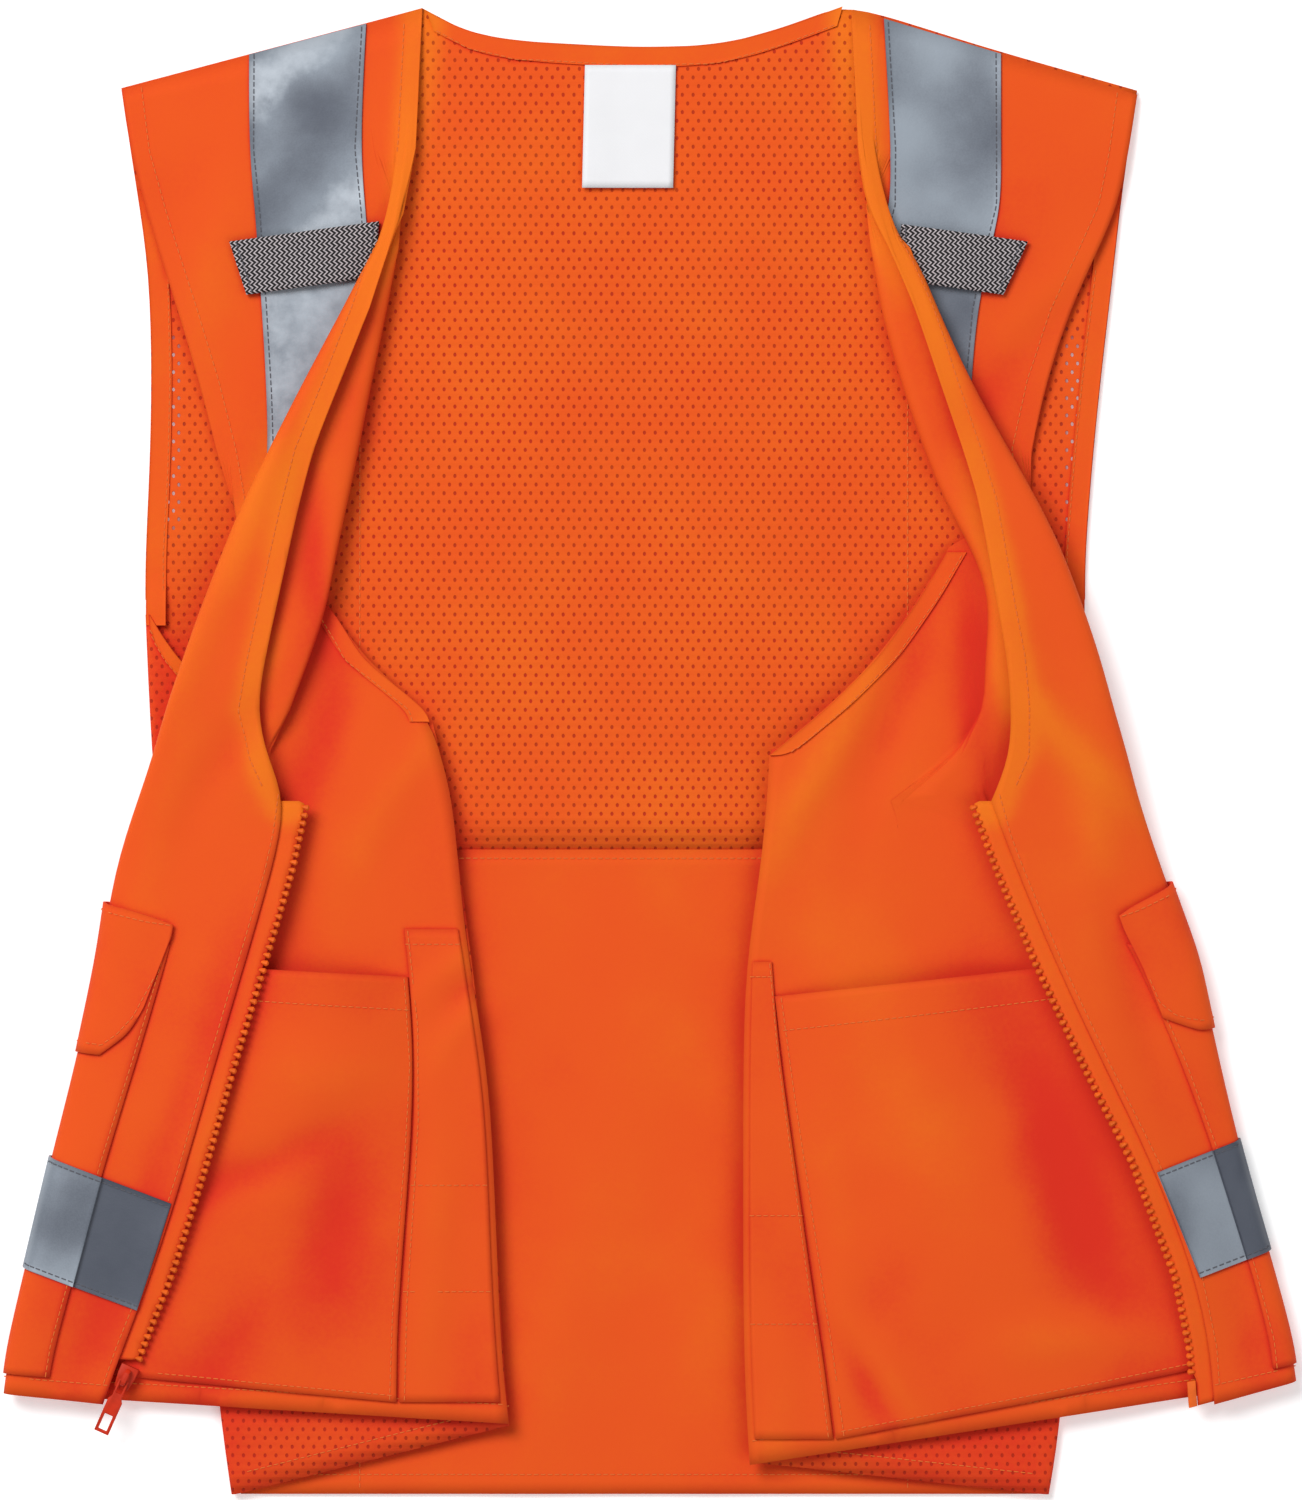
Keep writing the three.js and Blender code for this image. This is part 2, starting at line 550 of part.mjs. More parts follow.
// Strip along an edge of the back, on its inner face
const edgeStrip = (edge, inner) => flatSheet([edge, inner], BACK_TOP + GAP, BACK_TOP + GAP + TAPE);
const neckBinding = () => {
  const inside = BACK_TOP_EDGE.map(({ x }) => x).filter((x) => x > NECK.left && x < NECK.right);
  const xs = [NECK.left, ...inside, NECK.right];
  const edge = xs.map((x) => [x, topEdgeY(x) - EDGE_INSET]);
  const inner = xs.map((x) => [x * NECK.taper, topEdgeY(x) - BINDING_WIDTH]);
  return edgeStrip(edge, inner);
};
const backBinding = (side) => {
  const inward = side === 'left' ? 1 : -1;
  const rows = BACK_EDGES.filter(({ y }) => y < BACK_BINDING_TOP);
  const edge = rows.map((row) => [row[side] + inward * EDGE_INSET, row.y]);
  const inner = rows.map((row) => [row[side] + inward * BINDING_WIDTH, row.y]);
  return edgeStrip(edge, inner);
};
const backTape = (side) => {
  const [outer, inner] = BACK_TAPES[side];
  const edge = (x) => [[x, topEdgeY(x) - 1], [x, HEM_Y + 2]];
  return flatSheet([edge(outer), edge(inner)], 0, TAPE);
};
const neckLabel = () => {
  const row = (y) => [[LABEL.left, y], [LABEL.right, y]];
  return flatSheet([row(LABEL.top), row(LABEL.bottom)], BACK_TOP + GAP, BACK_TOP + GAP + TAPE);
};

// Mesh side: sewn to the back under the fold, turned over it, and running in to the side seam
const sideGrid = (side) => {
  const inward = side === 'left' ? 1 : -1;
  const middle = BACK_UNDERSIDE + HALF;
  const r = SIDE_FOLD_HEIGHT / 2;
  return SIDE_ROWS.map((row, i) => {
    const [frontX, frontY] = side === 'left' ? [row.left, row.yLeft] : [row.right, row.yRight];
    const fold = between(SIDE_FOLDS, 'y', row.yFold, side);
    const seam = SIDE_SEAM_INSET - SEAM_GAP;
    const turn = span(-Math.PI / 2, Math.PI / 2, 4).map((angle) =>
      [fold + inward * (r - r * Math.cos(angle)), middle + r + r * Math.sin(angle)]);
    const top = middle + SIDE_FOLD_HEIGHT;
    const start = fold + inward * r;
    const run = SIDE_RUN.map((t) => [lerp(start, frontX, t), top + SIDE_RISE * t]);
    const station = i === 0 ? SIDE_STATIONS.underarm : SIDE_STATIONS.below;
    const edge = [frontX, HEIGHTS[station].zA - CLOTH - GAP];
    const power = i === 0 ? UNDERARM_POWER : 1;
    return [[fold + inward * seam, middle], ...turn, ...run, edge].map(([x, z]) => {
      const t = THREE.MathUtils.clamp((x - start) / (frontX - start), 0, 1);
      return new THREE.Vector3(x, lerp(row.yFold, frontY, 1 - (1 - t) ** power), z);
    });
  });
};
const sideMesh = (grid) => {
  const normals = grid.map((row, i) => row.map((_, j) => {
    const across = row[Math.min(j + 1, row.length - 1)].clone().sub(row[Math.max(j - 1, 0)]);
    const down = grid[Math.min(i + 1, grid.length - 1)][j].clone().sub(grid[Math.max(i - 1, 0)][j]);
    return across.cross(down).normalize();
  }));
  const lifted = (height) => grid.map((row, i) =>
    row.map((point, j) => point.clone().addScaledVector(normals[i][j], height)));
  return solidBetween(lifted(HALF), lifted(-HALF));
};
const sideBinding = (grid) => {
  const edge = grid[0].slice(4, -2);
  const lifted = (drop, height) =>
    edge.map((point) => point.clone().add(new THREE.Vector3(0, -drop, height)));
  const strip = (height) => [lifted(EDGE_INSET, height), lifted(BINDING_WIDTH, height)];
  return solidBetween(strip(ON_CLOTH + TAPE), strip(ON_CLOTH));
};

// Zip slider with its bail, and the pull that swings on the bail
const SLIDER = {
  x: -241.5, y: -289.5, z: 13.5, turn: -24, length: 11, mouth: 8.5, tail: 6.5, wall: 4.4, waist: 1.1,
};
const BAIL = { width: 2.2, length: 8, height: 4.2, bar: 1.1, root: 0.5, outerCut: 1.7, innerCut: 0.6 };
const PULL = {
  length: 26, width: 7, neck: 4.6, neckEnd: 8, flareEnd: 10, wall: 1.5, frame: 1.5, grip: 9, droop: 4,
  bar: 0.55, slotEnd: 6.2, play: 0.35, back: 1.2,
};
const toManifold = (geometry) => {
  const plain = geometry.clone();
  plain.deleteAttribute('normal');
  plain.deleteAttribute('uv');
  const merged = mergeVertices(plain, 1e-4);
  return new wasm.Manifold(new wasm.Mesh({
    numProp: 3,
    vertProperties: new Float32Array(merged.attributes.position.array),
    triVerts: new Uint32Array(merged.index.array),
  }));
};
const fromManifold = (solid) => {
  const { vertProperties, triVerts } = solid.getMesh();
  const geometry = new THREE.BufferGeometry();
  geometry.setAttribute('position', new THREE.BufferAttribute(vertProperties, 3));
  geometry.setIndex(new THREE.BufferAttribute(triVerts, 1));
  return geometry;
};
const outline = (points) => new THREE.Shape(points.map(([x, y]) => new THREE.Vector2(x, y)));
const plate = (shape, depth) =>
  new THREE.ExtrudeGeometry(shape, { depth, bevelEnabled: false, curveSegments: 6 });
const zipSlider = () => {
  const { length, mouth, tail, wall, waist } = SLIDER;
  const body = plate(outline([
    [-mouth / 2, length / 2], [mouth / 2, length / 2], [mouth / 2, waist],
    [tail / 2, -length / 2], [-tail / 2, -length / 2], [-mouth / 2, waist],
  ]), wall).translate(0, 0, -wall / 2);
  const profile = (half, foot, top, cut) => [
    [-half, foot], [half, foot], [half, top - cut], [half - cut, top], [-half + cut, top], [-half, top - cut],
  ];
  const arch = outline(profile(BAIL.length / 2, -BAIL.root, BAIL.height, BAIL.outerCut));
  const inside = profile(BAIL.length / 2 - BAIL.bar, 0, BAIL.height - BAIL.bar, BAIL.innerCut);
  arch.holes.push(new THREE.Path(inside.map(([x, y]) => new THREE.Vector2(x, y))));
  const bail = plate(arch, BAIL.width)
    .translate(0, 0, -BAIL.width / 2)
    .rotateX(Math.PI / 2)
    .rotateZ(Math.PI / 2)
    .translate(0, 0, wall / 2);
  return fromManifold(toManifold(body).add(toManifold(bail)));
};
// The pull lies along -Y from its bar, which is the origin and passes through the bail
const zipPull = () => {
  const { length, width, neck, neckEnd, flareEnd, frame, grip, wall, bar } = PULL;
  const shape = outline([
    [neck / 2, bar], [-neck / 2, bar], [-neck / 2, -neckEnd], [-width / 2, -flareEnd], [-width / 2, -length],
    [width / 2, -length], [width / 2, -flareEnd], [neck / 2, -neckEnd],
  ]);
  const opening = (x, top, bottom) =>
    new THREE.Path([[-x, top], [x, top], [x, bottom], [-x, bottom]].map(([a, b]) => new THREE.Vector2(a, b)));
  shape.holes.push(opening(BAIL.width / 2 + PULL.play, -bar, -PULL.slotEnd));
  shape.holes.push(opening(width / 2 - frame, -length + grip, -length + frame));
  return plate(shape, wall).translate(0, 0, -wall / 2).rotateX(THREE.MathUtils.degToRad(PULL.droop));
};

// Assembly
const vest = new THREE.Group();
const add = (name, geometry, color, roughness = 0.85, metalness = 0, parent = vest) => {
  const mesh = new THREE.Mesh(geometry, new THREE.MeshStandardMaterial({ color, roughness, metalness }));
  mesh.name = name;
  parent.add(mesh);
  return mesh;
};

add('back_mesh', backMesh(), ORANGE);
add('back_lower', backLower(), ORANGE);
add('neck_binding', neckBinding(), ORANGE_TRIM);
add('neck_label', neckLabel(), WHITE);

const FRONTS = { left: makeFront(LEFT_FRONT, -1), right: makeFront(RIGHT_FRONT, 1) };
for (const [side, front] of Object.entries(FRONTS)) {
  const grid = sideGrid(side);
  add(`side_mesh_${side}`, sideMesh(grid), ORANGE);
  add(`armhole_binding_side_${side}`, sideBinding(grid), ORANGE_TRIM);
  add(`armhole_binding_back_${side}`, backBinding(side), ORANGE_TRIM);
  add(`back_tape_${side}`, backTape(side), SILVER, 0.4);
  add(`front_panel_${side}`, frontPanel(front), ORANGE);
  add(`armhole_binding_front_${side}`, frontBinding(front, side), ORANGE_TRIM);
  add(`shoulder_tape_${side}`, shoulderTape(front, side), SILVER, 0.4);
  add(`mic_tab_${side}`, micTab(front, side), GREY);
  add(`inner_pocket_${side}`, widePocket(front, side), ORANGE);
  add(`pen_pocket_${side}`, penPocket(front, side), ORANGE);
  add(`outer_pocket_${side}`, outerPocket(front, side), ORANGE);
  add(`pocket_flap_${side}`, pocketFlap(front, side), ORANGE);
  add(`waist_tape_pocket_${side}`, waistTapePocket(front, side), SILVER, 0.4);
  add(`waist_tape_front_${side}`, waistTapeFront(front, side), SILVER, 0.4);
  add(`zipper_tape_${side}`, zipTape(front, side), ORANGE_TRIM);
  add(`zipper_teeth_${side}`, zipTeeth(front, side), ORANGE_TRIM, 0.5);
}

const slider = new THREE.Group();
slider.position.set(SLIDER.x, SLIDER.y, SLIDER.z);
slider.rotation.z = THREE.MathUtils.degToRad(SLIDER.turn);
add('zipper_slider', zipSlider(), ORANGE_TRIM, 0.45, 0, slider);
const pull = add('zipper_pull', zipPull(), ORANGE_TRIM, 0.45, 0, slider);
pull.position.z = SLIDER.wall / 2 + BAIL.height - BAIL.bar - PULL.wall / 2 - PULL.play;
pull.position.y = -BAIL.length / 2 + BAIL.bar + PULL.back;
vest.add(slider);
add('zipper_pin', zipPin(FRONTS.right), ORANGE_TRIM, 0.45);

export default vest;
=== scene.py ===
"""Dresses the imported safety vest: cloth, mesh, tape, webbing, zip, stitching, stage and camera."""
import math

import bmesh
import bpy
import numpy as np
from bpy.props import FloatProperty, FloatVectorProperty, PointerProperty
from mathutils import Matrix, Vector
from mathutils.bvhtree import BVHTree


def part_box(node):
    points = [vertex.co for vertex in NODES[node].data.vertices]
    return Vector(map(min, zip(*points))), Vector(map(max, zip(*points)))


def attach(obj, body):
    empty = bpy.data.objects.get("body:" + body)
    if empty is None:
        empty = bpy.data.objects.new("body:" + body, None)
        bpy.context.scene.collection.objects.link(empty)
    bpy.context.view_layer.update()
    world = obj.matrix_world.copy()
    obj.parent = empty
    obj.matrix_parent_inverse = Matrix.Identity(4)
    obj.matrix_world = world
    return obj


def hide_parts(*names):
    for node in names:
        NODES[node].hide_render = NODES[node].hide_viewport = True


bl_info = {
    "name": "Safety Vest",
    "version": (1, 0, 0),
    "blender": (4, 5, 0),
    "location": "View3D > Sidebar > Vest",
    "description": "Dresses a packed safety vest in cloth, mesh, tape and stitching",
    "category": "Object",
}

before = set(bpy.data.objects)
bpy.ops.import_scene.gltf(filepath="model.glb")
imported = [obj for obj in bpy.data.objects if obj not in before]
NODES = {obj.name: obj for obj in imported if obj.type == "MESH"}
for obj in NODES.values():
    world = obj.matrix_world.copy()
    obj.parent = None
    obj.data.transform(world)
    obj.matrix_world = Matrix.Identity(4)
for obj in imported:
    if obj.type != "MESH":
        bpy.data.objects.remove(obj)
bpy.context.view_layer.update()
MM = 0.001
SIDES = ("left", "right")
VEST, PULL = "vest", "pull"


# Settings

def colour(name, description, default):
    return FloatVectorProperty(
        name=name, description=description, subtype="COLOR", size=3, min=0, max=1, default=default)


def distance(name, description, default):
    return FloatProperty(name=name, description=description, unit="LENGTH", min=0, default=default)


class VestColours(bpy.types.PropertyGroup):
    """Colours of the vest's materials"""
    cloth: colour("Cloth", "Woven and mesh panels", (0.74, 0.082, 0.010))
    # The next two colours are painted light mixed with uneven dye: the first is painted highlight on the
    # crests and turned edges of the cloth, the second painted shade in its folds and troughs
    highlight_and_dye: colour("Crest", "Paler, yellower orange where the cloth stands up and fades", (0.78, 0.165, 0.009))
    shade_and_dye: colour("Hollow", "Deeper red orange between folds", (0.66, 0.026, 0.011))
    # Mesh hole colour: painted shade, so the holes show dark red instead of what lies behind them
    hole: colour("Mesh hole", "What shows in the holes of the mesh", (0.24, 0.010, 0.005))
    tape: colour("Tape", "Reflective tape", (0.29, 0.33, 0.38))
    tape_shade: colour("Tape shade", "Duller grey of the tape", (0.078, 0.088, 0.115))
    tape_shine: colour("Tape shine", "Where bent tape mirrors the light", (0.43, 0.47, 0.52))
    webbing: colour("Webbing", "Pale threads of the grey tabs", (0.60, 0.54, 0.56))
    # The webbing shade is painted shade in the gaps between the pale threads
    webbing_shade: colour("Webbing shade", "Dark threads of the grey tabs", (0.010, 0.009, 0.010))
    label: colour("Label", "Neck label", (0.81, 0.81, 0.83))
    thread: colour("Thread", "Stitching on the cloth", (0.82, 0.17, 0.03))
    tape_thread: colour("Tape thread", "Stitching on the tape and the tabs", (0.12, 0.12, 0.14))
    plastic: colour("Plastic", "Zip teeth and pin", (0.86, 0.135, 0.011))
    slider: colour("Slider", "Zip slider and pull", (0.60, 0.028, 0.005))
    floor: colour("Floor", "Plain floor", (0.9, 0.9, 0.9))


class VestSizes(bpy.types.PropertyGroup):
    """Sizes of what the scene adds to the frame"""
    wrinkle: FloatProperty(
        name="Wrinkle", description="Share of the drawn height of the wrinkles", min=0, max=2, default=1)
    hole_pitch: distance("Hole pitch", "Across the mesh, hole to hole", 5.0 * MM)
    hole_row: distance("Hole row", "Down the mesh, row to row", 4.0 * MM)
    stitch: distance("Stitch", "Length of one stitch", 2.3 * MM)
    stitch_pitch: distance("Stitch pitch", "From one stitch to the next", 3.2 * MM)
    thread: distance("Thread", "Width of the thread", 0.55 * MM)
    tooth_pitch: distance("Tooth pitch", "From one zip tooth to the next", 3.7 * MM)


class VestStage(bpy.types.PropertyGroup):
    """Camera, lights and floor"""
    view_height: distance("View height", "Height that the picture covers at the floor", 0.693)
    camera_height: distance("Camera height", "Camera above the floor", 5.0)
    key: FloatProperty(name="Key light", description="Power of the large light", min=0, default=200)
    fill: FloatProperty(name="Fill light", description="Power of the opposite light", min=0, default=42)
    sky: FloatProperty(name="Surroundings", description="Strength of light all round", min=0, default=0.30)


# Shader maths

class Value:
    """A socket of a material, in sums of values"""

    def __init__(self, finish, socket):
        self.finish, self.socket = finish, socket

    def math(self, operation, *others):
        values = dict(enumerate((self, *others)))
        return self.finish.node("ShaderNodeMath", {"operation": operation}, values)

    def reflected(self, operation, first):
        return self.finish.node("ShaderNodeMath", {"operation": operation}, {0: first, 1: self})

    def __add__(self, other):
        return self.math("ADD", other)

    def __radd__(self, other):
        return self.reflected("ADD", other)

    def __sub__(self, other):
        return self.math("SUBTRACT", other)

    def __rsub__(self, other):
        return self.reflected("SUBTRACT", other)

    def __mul__(self, other):
        return self.math("MULTIPLY", other)

    def __truediv__(self, other):
        return self.math("DIVIDE", other)

    def __pow__(self, other):
        return self.math("POWER", other)

    def step(self, low, high):
        """0 below low, 1 above high, smooth between"""
        return self.finish.node(
            "ShaderNodeMapRange", {"interpolation_type": "SMOOTHSTEP"}, {0: self, 1: low, 2: high})


class Finish:
    """A material and its nodes"""

    def __init__(self, name, **settings):
        self.material = bpy.data.materials.new(name)
        self.material.use_nodes = True
        self.tree = self.material.node_tree
        self.shader = self.tree.nodes["Principled BSDF"]
        self.set(**settings)

    def set(self, **settings):
        for name, value in settings.items():
            self.join(self.shader.inputs[name.replace("_", " ").title().replace("Ior", "IOR")], value)

    def join(self, socket, value):
        if isinstance(value, Value):
            self.tree.links.new(value.socket, socket)
        elif hasattr(value, "__len__") and len(value) == 3 and socket.type == "RGBA":
            socket.default_value = (*value, 1)
        else:
            socket.default_value = value

    def node(self, kind, settings=None, inputs=None, output=0):
        node = self.tree.nodes.new(kind)
        for name, value in (settings or {}).items():
            setattr(node, name, value)
        for key, value in (inputs or {}).items():
            self.join(node.inputs[key], value)
        return Value(self, node.outputs[output])

    def place(self):
        """Object coordinates"""
        return self.node("ShaderNodeTexCoord", output=3)

    def split(self, place):
        """X, Y and Z of a place"""
        return [self.node("ShaderNodeSeparateXYZ", None, {0: place}, i) for i in range(3)]

    def noise(self, place, size, detail=2.0, roughness=0.5):
        """Noise from 0 to 1 with features of that size"""
        return self.node("ShaderNodeTexNoise", None, {
            "Vector": place, "Scale": 1 / size, "Detail": detail, "Roughness": roughness})

    def mix(self, share, a, b):
        return self.node("ShaderNodeMix", {"data_type": "RGBA"}, {0: share, 6: a, 7: b}, 2)

    def bump(self, height, depth, strength):
        return self.node("ShaderNodeBump", None, {"Strength": strength, "Distance": depth, "Height": height})


# Finishes

DYE, FUZZ, FOLD = 70 * MM, 2.2 * MM, 34 * MM  # uneven dye, fuzz, and how near a fold has to be to shade
WEAVE, FINE_WEAVE, LABEL_WEAVE = 0.9 * MM, 0.7 * MM, 0.7 * MM  # from thread to thread
# Size of the random patches where the painted shade in the mesh holes is lighter
HOLE_PATCH = 60 * MM
SHEEN = {"sheen_roughness": 0.5, "sheen_tint": (1.0, 0.4, 0.1), "specular_ior_level": 0.12}
# Holes that light passes through, beside the armhole bindings: two ranges of X, one of Y, and how far
# the strips fade out at their outer sides, inner sides and ends
OPEN_STRIPS = ((-224 * MM, -219 * MM), (194 * MM, 198 * MM), 90 * MM, 200 * MM)
STRIP_FADES = (2 * MM, 5 * MM, 20 * MM)
TAPE_WEAR, TAPE_SCUFF, TAPE_BEADS = 52 * MM, 9 * MM, 0.8 * MM
# Bands across bent tape: how steeply they slant, where one is brightest, how far below that they go on,
# from one to the next, and how far wear bends them
BAND_SLOPE, BAND_TOP, BAND_END, BAND_PITCH, BAND_BEND = 1.1, 503 * MM, -112 * MM, 100 * MM, 40 * MM
TAB_SLOPE, BAR_ROW, BAR_PITCH = 0.13, 2.9 * MM, 2.3 * MM  # bars of the webbing, along the slant of the tabs


def lattice(x, y, sizes):
    """Staggered holes: 1 in a hole and 0 on the knit, and the ribs between the rows"""
    row = y / sizes.hole_row
    shift = row.math("FLOOR") * 0.5
    across = (x / sizes.hole_pitch + shift).math("FRACT") - 0.5
    down = row.math("FRACT") - 0.5
    far = ((across * 7.0) ** 2 + (down * 4.2) ** 2).math("SQRT")
    return 1 - far.step(0.75, 1.15), (down * 2).math("ABSOLUTE")


def weave(x, y, pitch):
    """Plain weave from 0 to 1"""
    turn = 2 * math.pi / pitch
    return (x * turn).math("SINE") * (y * turn).math("SINE") * 0.5 + 0.5


def orange(finish, place, colours, painted_light_shift=0.0):
    """Cloth colour: painted shade between folds and in the troughs, painted highlight on the crests and
    turned edges that the drape marked, and uneven dye all over
    """
    tone = finish.node("ShaderNodeAttribute", {"attribute_name": PAINTED_LIGHT}, output=2) - 0.5 + painted_light_shift
    slow = finish.noise(place, DYE, 3) - 0.5
    fine = finish.noise(place, FUZZ, 3) - 0.5
    # Painted shade: ambient occlusion turns the colour deep red where folds and layers close over the cloth
    painted_fold_shade = 1 - finish.node("ShaderNodeAmbientOcclusion", {"samples": 6}, {"Distance": FOLD}, 1)
    mark = tone + slow * 0.7 + fine * 0.16
    pale = finish.mix(mark.step(-0.05, 0.75), colours.cloth, colours.highlight_and_dye)
    return finish.mix((painted_fold_shade * 1.5 - mark * 1.9).step(0.02, 1.0), pale, colours.shade_and_dye), fine


def cloth_finish(name, colours, pitch, painted_light_shift=0.0):
    finish = Finish(name, sheen_weight=0.12, **SHEEN)
    place = finish.place()
    x, y, z = finish.split(place)
    tint, fine = orange(finish, place, colours, painted_light_shift)
    finish.set(base_color=tint, roughness=0.78 + fine * 0.14,
               normal=finish.bump(weave(x + z, y, pitch) * 0.35 + fine * 0.9, 0.12 * MM, 0.5))
    return finish.material


def mesh_finish(name, colours, sizes, painted_light_shift, open_strips=()):
    finish = Finish(name, sheen_weight=0.1, **SHEEN)
    place = finish.place()
    x, y, _ = finish.split(place)
    hole, rib = lattice(x, y, sizes)
    knit, fine = orange(finish, place, colours, painted_light_shift)
    # The holes are painted dark as shade; in random patches that painted shade is lighter
    patchy = finish.noise(place, HOLE_PATCH, 2).step(0.35, 0.65)
    deep = finish.mix(patchy, colours.hole, tuple(1.8 * c for c in colours.hole))
    finish.set(base_color=finish.mix(hole * (0.6 + patchy * 0.3), knit, deep), roughness=0.8 + fine * 0.1,
               normal=finish.bump((1 - hole) * 0.8 + rib * 0.35 + fine * 0.25, 0.55 * MM, 0.6))
    if open_strips:
        (a, b), (c, d), low, high = open_strips
        outer, inner, end = STRIP_FADES
        strips = (x.step(a, a + outer) * (1 - x.step(b, b + inner))
                  + x.step(c - inner, c) * (1 - x.step(d, d + outer)))
        finish.set(alpha=1 - hole * strips * y.step(low, low + end) * (1 - y.step(high - end, high)))
    return finish.material


def tape_finish(name, colours, darken=0.0, shine=0.0):
    """Tape with uneven wear, and slanting bands of shine and shade where it bends over a shoulder"""
    finish = Finish(name, specular_ior_level=0.35)
    place = finish.place()
    x, y, _ = finish.split(place)
    slow = finish.noise(place, TAPE_WEAR, 1)
    grain = finish.noise(place, TAPE_BEADS, 2)
    scuff = finish.noise(place, TAPE_SCUFF, 4, 0.6)
    slant = (y - x * BAND_SLOPE + (slow - 0.5) * BAND_BEND - BAND_TOP).math("MAXIMUM", BAND_END)
    band = (slant * (2 * math.pi / BAND_PITCH)).math("COSINE") * shine
    share = (slow - 0.5) * (3.8 - 1.8 * shine) + (scuff - 0.5) * 0.4 + grain * 0.3 + 0.3 + band * 0.5 - darken
    patchy = finish.mix(share.step(-0.5, 1.3), colours.tape_shade, colours.tape)
    finish.set(base_color=finish.mix((band + (scuff - 0.5) * 0.9).step(0.25, 1.1), patchy, colours.tape_shine),
               metallic=0.1 + scuff.step(0.35, 0.7) * 0.15, roughness=0.42 + grain * 0.22,
               normal=finish.bump(grain * 0.5 + scuff * 1.2, 0.18 * MM, 0.5))
    return finish.material


def webbing_finish(colours):
    """Grey webbing: short bars that lean left and right in turn, row by row, with painted shade in the gaps
    between them
    """
    finish = Finish("grey_webbing", specular_ior_level=0.25)
    place = finish.place()
    x, y, _ = finish.split(place)
    row = (y - x * TAB_SLOPE) / BAR_ROW
    lean = ((row.math("FRACT") - 0.5).math("ABSOLUTE") - 0.25) * 4
    bar = ((x / BAR_PITCH + lean * 0.4).math("FRACT") - 0.5).math("ABSOLUTE") * 2
    knot = finish.noise(place, 1.2 * MM, 2)
    thread = bar.step(0.5, 0.72)
    finish.set(base_color=finish.mix(thread * (0.45 + knot * 0.7), colours.webbing_shade, colours.webbing),
               roughness=0.75 + knot * 0.1, normal=finish.bump(thread + knot * 0.4, 0.5 * MM, 0.7))
    return finish.material


def label_finish(colours):
    finish = Finish("white_label", specular_ior_level=0.35)
    place = finish.place()
    x, y, _ = finish.split(place)
    threads = weave(x, y, LABEL_WEAVE)
    slow = finish.noise(place, 25 * MM, 2)
    grey = tuple(0.88 * c for c in colours.label)
    finish.set(base_color=finish.mix(slow * 0.8 + threads * 0.2, grey, colours.label),
               roughness=0.55 + threads * 0.1, normal=finish.bump(threads, 0.1 * MM, 0.4))
    return finish.material


def plastic_finish(name, base):
    finish = Finish(name, specular_ior_level=0.22)
    place = finish.place()
    flow = finish.noise(place, 6 * MM, 2)
    scuff = finish.noise(place, 1.2 * MM, 3)
    deep = tuple(0.78 * c for c in base)
    finish.set(base_color=finish.mix(flow.step(0.3, 0.75), deep, base), roughness=0.42 + scuff * 0.2,
               normal=finish.bump(scuff, 0.06 * MM, 0.4))
    return finish.material


def thread_finish(name, base):
    finish = Finish(name, specular_ior_level=0.2)
    twist = finish.noise(finish.place(), 0.5 * MM, 2)
    deep = tuple(0.7 * c for c in base)
    finish.set(base_color=finish.mix(twist, deep, base), roughness=0.6 + twist * 0.1,
               normal=finish.bump(twist, 0.1 * MM, 0.5))
    return finish.material


FINISHES = {}


def finish_of(key):
    """Materials are made once, from the colours in the settings"""
    if key not in FINISHES:
        settings = bpy.context.scene.vest
        colours, sizes = settings.colours, settings.sizes
        # The last number of each cloth and mesh finish shifts its painted highlight and shade as a whole: the
        # side mesh and pockets deeper, the bindings and back mesh paler
        makers = {
            "cloth": lambda: cloth_finish("orange_cloth", colours, WEAVE),
            "pocket": lambda: cloth_finish("orange_cloth_pocket", colours, WEAVE, -0.1),
            "trim": lambda: cloth_finish("orange_binding", colours, FINE_WEAVE, 0.14),
            "back_mesh": lambda: mesh_finish("orange_mesh_back", colours, sizes, 0.1, OPEN_STRIPS),
            "mesh": lambda: mesh_finish("orange_mesh", colours, sizes, -0.22),
            "tape": lambda: tape_finish("reflective_tape", colours),
            "darker_tape": lambda: tape_finish("reflective_tape_darker", colours, 1.4),
            "bent_tape": lambda: tape_finish("reflective_tape_bent", colours, 0.1, 0.85),
            "webbing": lambda: webbing_finish(colours),
            "label": lambda: label_finish(colours),
            "plastic": lambda: plastic_finish("zip_plastic", colours.plastic),
            "slider": lambda: plastic_finish("zip_slider", colours.slider),
            "thread": lambda: thread_finish("orange_thread", colours.thread),
            "tape_thread": lambda: thread_finish("grey_thread", colours.tape_thread),
        }
        FINISHES[key] = makers[key]()
    return FINISHES[key]


# Drape: one smooth lift of everything above the back, so sewn layers keep their places on each other

# The cloth's attribute below holds painted highlight (over 0.5) and painted shade (under 0.5) for its colour
PAINTED_LIGHT = "tone"  # attribute of the cloth: over 0.5 on crests, under it in hollows
RIM = "rim"  # 1 round the rim of a sheet while it is being made
